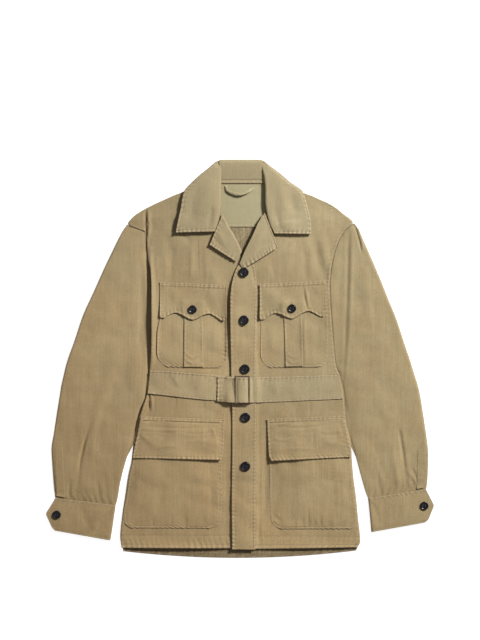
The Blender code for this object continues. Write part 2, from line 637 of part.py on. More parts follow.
def button(name, x, y, diameter, on):
    radius = diameter / 2
    spots = [(x, y)]
    spots += [(x + radius * math.cos(a), y + radius * math.sin(a)) for a in np.arange(12) * math.pi / 6]
    base = max(top_height(px, py, on) for px, py in spots) + SEAM_GAP
    corners = []
    rings = []
    for share, height in BUTTON_PROFILE:
        count = 1 if share == 0 else BUTTON_SIDES
        turns = 2 * math.pi * np.arange(count) / count
        rings.append(list(range(len(corners), len(corners) + count)))
        reach = share * radius
        corners += [(x + reach * math.cos(a), y + reach * math.sin(a), base + height) for a in turns]
    faces = []
    for lower, upper in zip(rings, rings[1:]):
        for index in range(BUTTON_SIDES):
            after = (index + 1) % BUTTON_SIDES
            if len(lower) == 1:
                faces.append((lower[0], upper[after], upper[index]))
            elif len(upper) == 1:
                faces.append((lower[index], lower[after], upper[0]))
            else:
                faces.append((lower[index], lower[after], upper[after], upper[index]))
    add_solid(name, np.array(corners), faces, DARK_BUTTON)


def body():
    flat_panel("belt_back", BELT_BACK, 2, wall=BELT_WALL, step=400.0)
    flat_panel("back", BACK, 12, bow=BACK_HEM_BOW, on=("belt_back",), reach=8.0)
    panel("back_yoke", YOKE, 4, wall=LINING_WALL, on=("back",), reach=0.0, finish=KHAKI_LINING)
    panel("front_right", FRONT_RIGHT, 8, on=("back", "back_yoke"), roll_a=SEAM_ROLL)
    below = ("back", "back_yoke", "front_right")
    panel("front_left", FRONT_LEFT, 9, on=below, passes=1, roll_a=SEAM_ROLL, reach=17.0)
    below = ("front_left", "front_right")
    panel("front_band", FRONT_BAND, 3, wall=LINING_WALL, on=below, reach=14.0)


def neck():
    below = ("back_yoke", "front_right", "front_left", "front_band")
    panel("lapel_right", LAPEL_RIGHT, 4, on=below, step=FINE_STEP, roll_a=3.0, roll_b=SEAM_ROLL)
    under = below + ("lapel_right",)
    panel("lapel_left", LAPEL_LEFT, 4, on=under, step=FINE_STEP, roll_a=3.0, roll_b=SEAM_ROLL)
    panel("collar_right", COLLAR_RIGHT, 5, on=below, step=16.0, roll_a=COLLAR_ROLL, roll_b=12.0)
    panel("collar_left", COLLAR_LEFT, 5, on=below, step=16.0, roll_a=COLLAR_ROLL, roll_b=COLLAR_ROLL)
    cloth("collar_back", section_grid(COLLAR_BACK, 30.0, 4), LINING_WALL)
    hanger_loop()


def pockets():
    for side, front, pocket, pleat, ends in (
        ("right", "front_right", CHEST_POCKET_RIGHT, CHEST_PLEAT_RIGHT, CHEST_FLAP_RIGHT),
        ("left", "front_left", CHEST_POCKET_LEFT, CHEST_PLEAT_LEFT, CHEST_FLAP_LEFT),
    ):
        panel(f"chest_pocket_{side}", pocket, 6, on=(front, "front_right"), reach=9.0)
        panel(f"chest_pleat_{side}", pleat, 2, wall=LINING_WALL, on=(f"chest_pocket_{side}",), reach=9.0)
        layers = (front, "front_band", f"chest_pocket_{side}", f"chest_pleat_{side}")
        chest_flap(f"chest_flap_{side}", ends, layers)
    for side, pocket, flap in (
        ("right", HIP_POCKET_RIGHT, HIP_FLAP_RIGHT),
        ("left", HIP_POCKET_LEFT, HIP_FLAP_LEFT),
    ):
        front = f"front_{side}"
        panel(f"hip_pocket_{side}", pocket, 7, on=(front, "front_right"), reach=9.0)
        layers = (front, "front_right", f"hip_pocket_{side}")
        panel(f"hip_flap_{side}", flap, 7, wall=FLAP_WALL, on=layers, reach=18.0)


def cut_short(section, x):
    """The section with its edge a drawn in to this X."""
    share = (x - section.ax) / (section.bx - section.ax)
    return section._replace(ax=x, ay=section.ay + share * (section.by - section.ay))


def sleeves():
    for side, sleeve, cuff, placket in (
        ("right", SLEEVE_RIGHT, CUFF_RIGHT, PLACKET_RIGHT),
        ("left", SLEEVE_LEFT, CUFF_LEFT, PLACKET_LEFT),
    ):
        under = f"sleeve_{side}_under"
        flat_panel(under, sleeve, 4)
        panel(f"sleeve_{side}_top", sleeve, 7, on=(under,), roll_a=SEAM_ROLL, roll_b=SEAM_ROLL, reach=2.0)
        edge = math.copysign(CUFF_UNDER_EDGE, cuff[0].ax)
        inner = [cut_short(one, edge) for one in cuff]
        flat_panel(f"cuff_{side}_under", inner, 4)
        below = (f"cuff_{side}_under",)
        panel(f"cuff_{side}", cuff, 5, wall=FLAP_WALL, on=below, step=12.0, roll_b=SEAM_ROLL, reach=2.0)
        below = (f"sleeve_{side}_top",)
        panel(f"sleeve_placket_{side}", placket, 2, wall=LINING_WALL, on=below, reach=8.0)


def fastenings():
    for number, (x, y) in enumerate(FRONT_BUTTONS, 1):
        on = ("front_band", "lapel_left") if number == 1 else ("front_band",)
        button(f"front_button_{number}", x, y, FRONT_BUTTON, on)
    for side, x, y in FLAP_BUTTONS:
        button(f"flap_button_{side}", x, y, POCKET_BUTTON, (f"chest_flap_{side}",))
    for side, x, y in CUFF_BUTTONS:
        button(f"cuff_button_{side}", x, y, POCKET_BUTTON, (f"cuff_{side}",))


def build():
    clear_scene()
    body()
    neck()
    pockets()
    belt_and_buckle()
    sleeves()
    fastenings()


build()
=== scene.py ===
"""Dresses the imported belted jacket: cloth with folds, seams and stitches, buttons and buckle.

Lengths in the tables are millimetres and the meshes are in metres. Right and left are the
wearer's. Each piece of cloth is a thin closed shell on the form of its solid, laid on what is
under it with a raster of heights.
"""

import logging
import math
from dataclasses import dataclass, field
from enum import Enum
from typing import Mapping, NamedTuple, Sequence

import bmesh
import bpy
import numpy as np
from mathutils import Matrix, Vector


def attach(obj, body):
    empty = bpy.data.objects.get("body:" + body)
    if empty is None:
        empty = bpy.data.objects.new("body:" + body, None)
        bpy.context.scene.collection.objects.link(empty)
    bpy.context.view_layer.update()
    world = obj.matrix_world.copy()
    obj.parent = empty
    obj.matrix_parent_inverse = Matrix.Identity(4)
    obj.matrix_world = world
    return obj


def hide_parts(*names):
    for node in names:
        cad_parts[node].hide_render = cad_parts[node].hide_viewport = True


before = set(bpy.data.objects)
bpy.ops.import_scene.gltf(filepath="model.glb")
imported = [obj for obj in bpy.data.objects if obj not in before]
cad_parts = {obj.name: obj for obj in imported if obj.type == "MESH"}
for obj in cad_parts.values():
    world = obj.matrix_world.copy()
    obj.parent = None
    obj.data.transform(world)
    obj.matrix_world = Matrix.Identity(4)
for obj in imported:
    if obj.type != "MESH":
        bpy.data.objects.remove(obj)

LOG = logging.getLogger("jacket")
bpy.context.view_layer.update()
MM = 0.001
GAP = 0.3
CLOTH_WALL = 1.2
LINING_WALL = 1.0
THIN_WALL = 0.9
FLAP_WALL = 1.6
TINY = 1e-9
Colour = tuple[float, float, float, float]


class Section(NamedTuple):
    """One row of a panel: edge a, edge b, and the height at a, between them and at b."""

    ax: float
    ay: float
    bx: float
    by: float
    za: float = 0.0
    zm: float = 0.0
    zb: float = 0.0


class Edge(Enum):
    """The four edges of a panel's grid."""

    A = "a"
    B = "b"
    FIRST = "first"
    LAST = "last"


def table(*rows: Sequence[float]) -> tuple[Section, ...]:
    """Makes the sections of a panel."""
    return tuple(Section(*row) for row in rows)


BACK = table(
    (-239, -394.4, 238, -393), (-245, -365, 246, -372), (-241, -322, 241, -322),
    (-235, -281, 237, -281), (-229, -240, 232, -244), (-222, -208, 229, -208),
    (-218, -175, 226, -169), (-212, -142, 219, -142), (-202, -105, 214, -105),
    (-194, -90, 212, -90), (-191, -83, 211, -83), (-188, -27, 201, -27), (-188, -19, 198, -19),
    (-187.6, 28, 190, 28), (-187.6, 79, 186, 79), (-187.6, 137, 182, 140), (-189.5, 182, 184, 178),
    (-192.5, 223, 190, 211), (-194.5, 262, 198, 237), (-228.5, 277, 212, 262),
    (-218, 289, 230, 279), (-207, 298, 210, 296), (-178, 314, 186, 314), (-141, 331, 149, 331),
    (-47, 364, 50, 364),
)
FRONT_RIGHT = table(
    (-242.4, -387, 31, -388, 3.2, 4.6, 4.6), (-245.4, -365, 31, -366, 1.9, 4.8, 4.8),
    (-241.4, -322, 31, -322, 1.9, 4.8, 4.8), (-235.4, -281, 31, -281, 1.9, 4.8, 4.8),
    (-229.4, -240, 31, -240, 1.9, 4.8, 4.8), (-222.4, -208, 31, -208, 1.9, 4.8, 4.8),
    (-218.4, -175, 31, -175, 1.9, 4.8, 4.8), (-212.4, -142, 30, -142, 1.9, 4.8, 4.8),
    (-202.4, -105, 30, -105, 1.9, 4.8, 4.8), (-191.4, -76, 29, -76, 3.6, 5.2, 5.0),
    (-189.4, -50, 29, -50, 3.6, 5.4, 5.0), (-185.4, -23, 28, -23, 4.4, 5.6, 4.8),
    (-182.4, 18, 27, 18, 5.0, 5.8, 4.8), (-181.4, 79, 26, 79, 5.4, 6.0, 4.8),
    (-181.4, 141, 22, 141, 5.4, 6.0, 4.8), (-183.4, 182, 8, 182, 5.0, 5.8, 4.8),
    (-188.4, 204, 2, 204, 4.8, 5.4, 4.8), (-190.4, 233, -4, 230, 4.6, 5.2, 5.0),
    (-190.6, 256, -15, 254, 4.4, 5.0, 5.2), (-197, 261.4, -28, 275, 4.2, 4.8, 5.4),
    (-213, 267.4, -40, 297, 3.6, 4.6, 5.4), (-229.4, 276.6, -43, 312, 2.6, 4.6, 5.4),
    (-219, 290.4, -45, 324, 2.2, 3.6, 5.0), (-207, 299.4, -47, 337, 3.2, 3.4, 4.6),
    (-178, 315.4, -50, 352, 3.3, 3.3, 3.8), (-141, 332.2, -49, 368, 3.0, 3.0, 3.0),
)
FRONT_LEFT = table(
    (240.4, -386, -16, -390, 3.2, 4.6, 6.4), (246.4, -374, -16.5, -373, 1.9, 4.8, 6.4),
    (241.4, -322, -17, -322, 1.9, 4.8, 6.4), (237.4, -281, -17, -281, 1.9, 4.8, 6.4),
    (232.4, -244, -16.5, -244, 1.9, 4.8, 6.4), (229.4, -208, -16, -208, 1.9, 4.8, 6.4),
    (226.4, -169, -16, -169, 1.9, 4.8, 6.4), (219.4, -142, -16, -142, 1.9, 4.8, 6.4),
    (215.4, -115, -16, -115, 1.9, 4.8, 6.4), (212.4, -83, -16.5, -83, 3.6, 5.2, 6.6),
    (209.4, -60, -17, -60, 3.6, 5.2, 6.6), (203.4, -35, -18, -35, 3.6, 5.2, 6.6),
    (195.4, -15, -18.5, -12, 4.8, 5.2, 6.4), (190.4, 28, -19, 28, 5.2, 5.2, 6.4),
    (186.4, 79, -20, 79, 5.2, 5.2, 6.4), (183.4, 120, -20, 120, 5.2, 5.2, 6.4),
    (182.4, 151, -18, 150, 5.2, 5.2, 6.4), (184.4, 178, -11, 178, 5.2, 5.2, 6.4),
    (190.4, 211, 4, 206, 5.2, 5.2, 6.2), (198.4, 237, 20, 236, 5.2, 5.0, 5.6),
    (212.4, 262, 34, 264, 5.2, 4.8, 5.4), (231.2, 279.4, 48, 290, 1.9, 4.6, 5.4),
    (211, 297.4, 52, 308, 2.2, 3.6, 5.0), (199, 307.4, 54, 323, 3.2, 3.4, 4.6),
    (187, 315.4, 55, 337, 3.3, 3.3, 4.0), (150, 332.4, 52, 370, 3.0, 3.0, 3.0),
)
FRONT_BAND = table(
    (-16, -389.4, 31, -390.4), (-17, -290, 31, -290), (-16, -187, 31.5, -187), (-16, -95, 32, -95),
    (-18, -33, 31, -33), (-19, 18, 31.5, 18), (-20, 79, 33, 79), (-20, 120, 34, 120),
    (-18, 147, 34, 147), (-14, 166, 33, 166), (-8, 183, 30, 185), (-4, 191, 27, 192),
)
YOKE = table((-58, 357.5, 64, 357.5), (-62, 312, 68, 312), (-66, 270, 72, 270))
LAPEL_RIGHT = table(
    (-62, 233, -35.7, 297.4, 12.0, 12.0, 8.6), (-52, 226.2, -23, 272, 12.4, 11.6, 8.0),
    (-41, 219, -11, 252, 12.0, 11.4, 7.8), (-21, 206.5, -1, 232, 10.6, 10.8, 7.8),
    (-8, 198, 4, 219.5, 9.4, 9.6, 7.8),
)
LAPEL_LEFT = table(
    (78, 228, 50.4, 298.8, 10.0, 11.2, 9.6), (66, 220.3, 38, 280, 10.0, 12.6, 12.4),
    (53, 212, 25, 251, 10.2, 13.0, 13.2), (29, 197, 10, 221, 10.4, 12.6, 12.8),
    (6, 183, -1, 195, 10.2, 11.2, 11.2),
)
COLLAR_RIGHT = table(
    (-50, 403.4, -41.6, 406.6, 3.6, 4.6, 5.0), (-62, 392.8, -38.6, 387, 3.4, 9.6, 8.8),
    (-83, 375.8, -38, 371, 4.4, 11.0, 8.6), (-99, 360.6, -38.4, 346, 6.4, 11.6, 8.6),
    (-115, 341, -39, 319, 9.4, 12.2, 8.8), (-122, 305, -40, 300, 12.6, 12.8, 9.4),
    (-129, 272, -45, 278, 14.0, 13.2, 10.4), (-131, 258, -52, 260, 14.4, 13.4, 11.6),
)
COLLAR_LEFT = table(
    (50, 404.4, 42.6, 407.6, 3.6, 4.6, 5.0), (62, 394.6, 46, 387, 3.4, 10.0, 9.2),
    (83, 378.6, 49, 371, 3.6, 11.6, 8.0), (103, 361.4, 51, 346, 4.0, 12.4, 8.6),
    (129, 341, 51, 325, 6.4, 12.6, 9.0), (138, 311, 54, 301, 9.6, 12.6, 9.8),
    (145, 280, 61, 276, 9.4, 12.6, 11.4), (146, 255, 71, 256, 8.8, 12.2, 13.0),
)
COLLAR_BACK = table(
    (-42, 359, 54, 359, 3.4, 3.4, 3.4), (-42, 372, 53, 372, 5.2, 5.2, 5.2),
    (-42.4, 388, 50, 388, 7.4, 7.4, 7.4), (-42.6, 401, 46.4, 401, 8.4, 8.4, 8.4),
    (-42.4, 405.8, 44, 405.8, 7.2, 7.2, 7.2), (-42.2, 407.4, 43.4, 407.4, 4.4, 4.4, 4.4),
    (-39.4, 405.4, 40.4, 405.4, 1.8, 1.8, 1.8), (-39, 400, 40, 400, 0.7, 0.7, 0.7),
    (-38, 367, 41, 367, 0.6, 0.6, 0.6),
)
CHEST_POCKET_RIGHT = table(
    (-161, 150, -28, 146), (-164, 84, -28, 84), (-169, 52, -27, 52), (-170, 14, -27, 12),
    (-168, 2, -28, 0), (-163, -6, -31, -9), (-156, -12, -37, -15), (-147, -17, -46, -19),
)
CHEST_POCKET_LEFT = table(
    (43, 149, 178, 154), (43, 80, 179, 80), (42, 10, 180, 12), (44, -1, 179, 0), (48, -8, 176, -8),
    (54, -14, 170, -13), (63, -18, 161, -17),
)
CHEST_PLEAT_RIGHT = table((-114, 112, -77, 112), (-115, -16.4, -75, -17))
CHEST_PLEAT_LEFT = table((89, 112, 126, 112), (93, -16, 129, -15.4))
HIP_POCKET_RIGHT = table(
    (-204, -128, -37, -132), (-219, -208, -37, -208), (-226, -240, -37, -240),
    (-232, -281, -37, -281), (-238, -318, -38, -320), (-237, -332, -42, -335),
    (-232, -341, -50, -343), (-222, -346, -62, -347),
)
HIP_POCKET_LEFT = table(
    (60, -132, 212, -127), (60, -208, 225, -208), (60.5, -240, 228, -240), (61, -281, 233, -281),
    (62, -320, 237, -318), (66, -336, 237, -334), (74, -344, 234, -343), (86, -348, 226, -348),
)
HIP_FLAP_RIGHT = table(
    (-203, -118, -32, -124), (-212, -162, -33, -165), (-219, -196, -35, -198),
    (-220, -203, -39, -207),
)
HIP_FLAP_LEFT = table(
    (55, -123, 213, -117), (57, -165, 220, -160), (59, -198, 227, -194), (64, -209, 227, -201),
)
BELT_RIGHT = table(
    (-184.4, -24, -189, -71), (-172, -24.6, -174, -72.6), (-144, -26, -144, -76),
    (-82, -31, -82, -83), (-40, -34, -40, -86), (-9, -37.6, -9, -88.4),
)
BELT_BACK = table((-186, -30, -190, -80), (200, -30, 210, -80))
SLEEVE_RIGHT = table(
    (-231.4, 274.6, -226.6, 273.4, 2.2, 2.4, 2.4), (-239.6, 263, -198, 258.4, 1.9, 3.8, 3.4),
    (-254.6, 234, -194, 223, 1.9, 5.4, 2.2), (-277.6, 186, -191, 182, 1.9, 5.6, 2.2),
    (-299.6, 137, -189, 137, 1.9, 5.6, 2.2), (-322.6, 86, -189, 79, 1.9, 5.6, 2.2),
    (-338.6, 38, -189, 28, 1.9, 5.6, 2.2), (-355.6, -11, -190, -23, 1.9, 5.6, 2.2),
    (-361.2, -34, -191.8, -50, 1.9, 5.6, 2.0), (-366.6, -58, -194, -78, 1.9, 5.6, 1.9),
    (-370.6, -84, -205, -105, 1.9, 5.6, 1.9), (-376.2, -118, -215, -142, 1.9, 5.6, 1.9),
    (-381.2, -152, -222.2, -173, 1.9, 5.4, 1.9), (-386.2, -186, -234, -209, 1.9, 5.2, 1.9),
    (-383.2, -238, -245, -251, 1.9, 5.0, 1.9), (-378.6, -284, -254.4, -298, 1.9, 2.8, 1.9),
)
SLEEVE_LEFT = table(
    (234.8, 277.4, 232.6, 277, 1.9, 2.4, 2.2), (243.6, 264, 215.2, 261.4, 1.9, 4.4, 2.1),
    (249.8, 249, 201.2, 237, 1.9, 5.0, 3.8), (256.6, 234, 193, 211, 1.9, 5.2, 4.2),
    (277.6, 186, 187, 178, 1.9, 5.4, 4.3), (290.6, 155, 185, 151, 1.9, 5.4, 4.3),
    (303.6, 122, 186, 120, 1.9, 5.4, 4.3), (318.6, 86, 189, 79, 1.9, 5.4, 4.3),
    (334.6, 38, 193, 28, 1.9, 5.4, 4.3), (350.6, -10, 198.4, -15, 1.9, 5.4, 3.8),
    (357.6, -33, 206.4, -35, 1.9, 5.6, 2.2), (365.6, -60, 212.6, -60, 1.9, 5.6, 1.9),
    (370.6, -85, 215.6, -83, 1.9, 5.6, 1.9), (374.8, -112, 218.6, -115, 1.9, 5.6, 1.9),
    (378.8, -138, 222.6, -142, 1.9, 5.6, 1.9), (382.6, -164, 228.6, -169, 1.9, 5.4, 1.9),
    (385.6, -195, 239.4, -208, 1.9, 5.2, 1.9), (384.6, -238, 251, -251, 1.9, 5.0, 1.9),
    (381.6, -266, 262, -284.4, 1.9, 2.8, 1.9),
)
CUFF_RIGHT = table(
    (-378.4, -285.4, -254.8, -299.4, 3.0, 5.0, 1.9), (-387, -300, -257, -314, 3.0, 5.2, 1.9),
    (-396.6, -315, -259, -329, 3.0, 5.2, 1.9), (-396.8, -320, -260, -336, 3.0, 5.2, 1.9),
    (-385, -346, -264, -362, 3.0, 5.2, 1.9), (-379, -352, -266, -372, 3.0, 4.8, 1.9),
)
CUFF_LEFT = table(
    (381, -267.4, 262.4, -285.8, 3.0, 5.0, 1.9), (389, -283, 264.4, -303, 3.0, 5.2, 1.9),
    (396.6, -298, 266, -320, 3.0, 5.2, 1.9), (396.8, -303, 266.6, -326, 3.0, 5.2, 1.9),
    (386, -329, 268.4, -347, 3.0, 5.2, 1.9), (380, -335, 269.4, -355, 3.0, 4.8, 1.9),
)
PLACKET_RIGHT = table((-379, -170, -364, -169), (-376, -281, -358, -284))
PLACKET_LEFT = table((379.4, -187, 364, -186), (377, -264, 362, -267))


def bell(distance: np.ndarray, width: np.ndarray | float) -> np.ndarray:
    """Falls from 1 at no distance towards 0 beyond a width, as a bell does."""
    return np.exp(-((distance / width) ** 2))


def blend(corners: Sequence[np.ndarray], s: np.ndarray, t: np.ndarray) -> np.ndarray:
    """Blends the values at four corners of a cell.

    Args:
        corners: Values at the near and far ends of the low side, then of the high side.
        s: Shares along the sides.
        t: Shares from the low side to the high side.

    Returns:
        The values between them.
    """
    low = corners[0] * (1 - s) + corners[1] * s
    high = corners[2] * (1 - s) + corners[3] * s
    return low * (1 - t) + high * t


def run_along(path: np.ndarray) -> np.ndarray:
    """Measures the length from the start of a path to each of its points."""
    gaps = np.linalg.norm(np.diff(path, axis=0), axis=1)
    return np.concatenate([[0.0], np.cumsum(gaps)])


@dataclass(frozen=True)
class Crease:
    """A soft, uneven trough or ridge along a curve through three points.

    A height below zero is a trough. lip is the share of the height that stands up beside it,
    on the left of its direction, or on the right where it is below zero.
    """

    x1: float
    y1: float
    x2: float
    y2: float
    x3: float
    y3: float
    half_width: float
    height: float
    lip: float = 0.0

    POINTS = 15
    END_FADE = 0.6
    UNEVEN_HEIGHT = 0.3
    UNEVEN_WIDTH = 0.25
    LIP_PLACE = 1.9
    LIP_WIDTH = 1.2

    def relief(self, x: np.ndarray, y: np.ndarray) -> np.ndarray:
        """Works out what the crease adds to a surface.

        Args:
            x: Places across the jacket, in millimetres.
            y: Places along the jacket, in millimetres.

        Returns:
            Heights to add, in millimetres.
        """
        curve_x = self._curve(self.x1, self.x2, self.x3)
        curve_y = self._curve(self.y1, self.y2, self.y3)
        best = np.full(x.shape, np.inf)
        aside = np.zeros(x.shape)
        place = np.zeros(x.shape)
        for k in range(self.POINTS - 1):
            dx = curve_x[k + 1] - curve_x[k]
            dy = curve_y[k + 1] - curve_y[k]
            size = math.hypot(dx, dy) or TINY
            along = np.clip(((x - curve_x[k]) * dx + (y - curve_y[k]) * dy) / size ** 2, 0, 1)
            off_x = x - curve_x[k] - along * dx
            off_y = y - curve_y[k] - along * dy
            far = np.hypot(off_x, off_y)
            nearer = far < best
            side = np.sign(dx * off_y - dy * off_x)
            best = np.where(nearer, far, best)
            aside = np.where(nearer, side * far, aside)
            place = np.where(nearer, (k + along) / (self.POINTS - 1), place)
        fade = np.sin(math.pi * np.clip(place, 0.02, 0.98)) ** self.END_FADE
        level = noise(place * 70 + self.x1, place * 0 + self.y1, size=22, seed=5)
        spread = noise(place * 90, place * 0 + self.x1, size=30, seed=9)
        reach = self.half_width * (1 + self.UNEVEN_WIDTH * spread)
        shape = bell(aside, reach)
        if self.lip:
            beside = aside * math.copysign(1, self.lip) - self.LIP_PLACE * reach
            shape = shape - abs(self.lip) * bell(beside, self.LIP_WIDTH * reach)
        return self.height * fade * (1 + self.UNEVEN_HEIGHT * level) * shape

    def _curve(self, first: float, second: float, third: float) -> np.ndarray:
        """Finds one coordinate along the curve.

        Args:
            first: Where it starts.
            second: Where it is half way.
            third: Where it ends.

        Returns:
            The coordinate at each point of the curve.
        """
        share = np.linspace(0, 1, self.POINTS)
        pull = 2 * second - (first + third) / 2
        return (1 - share) ** 2 * first + 2 * share * (1 - share) * pull + share ** 2 * third


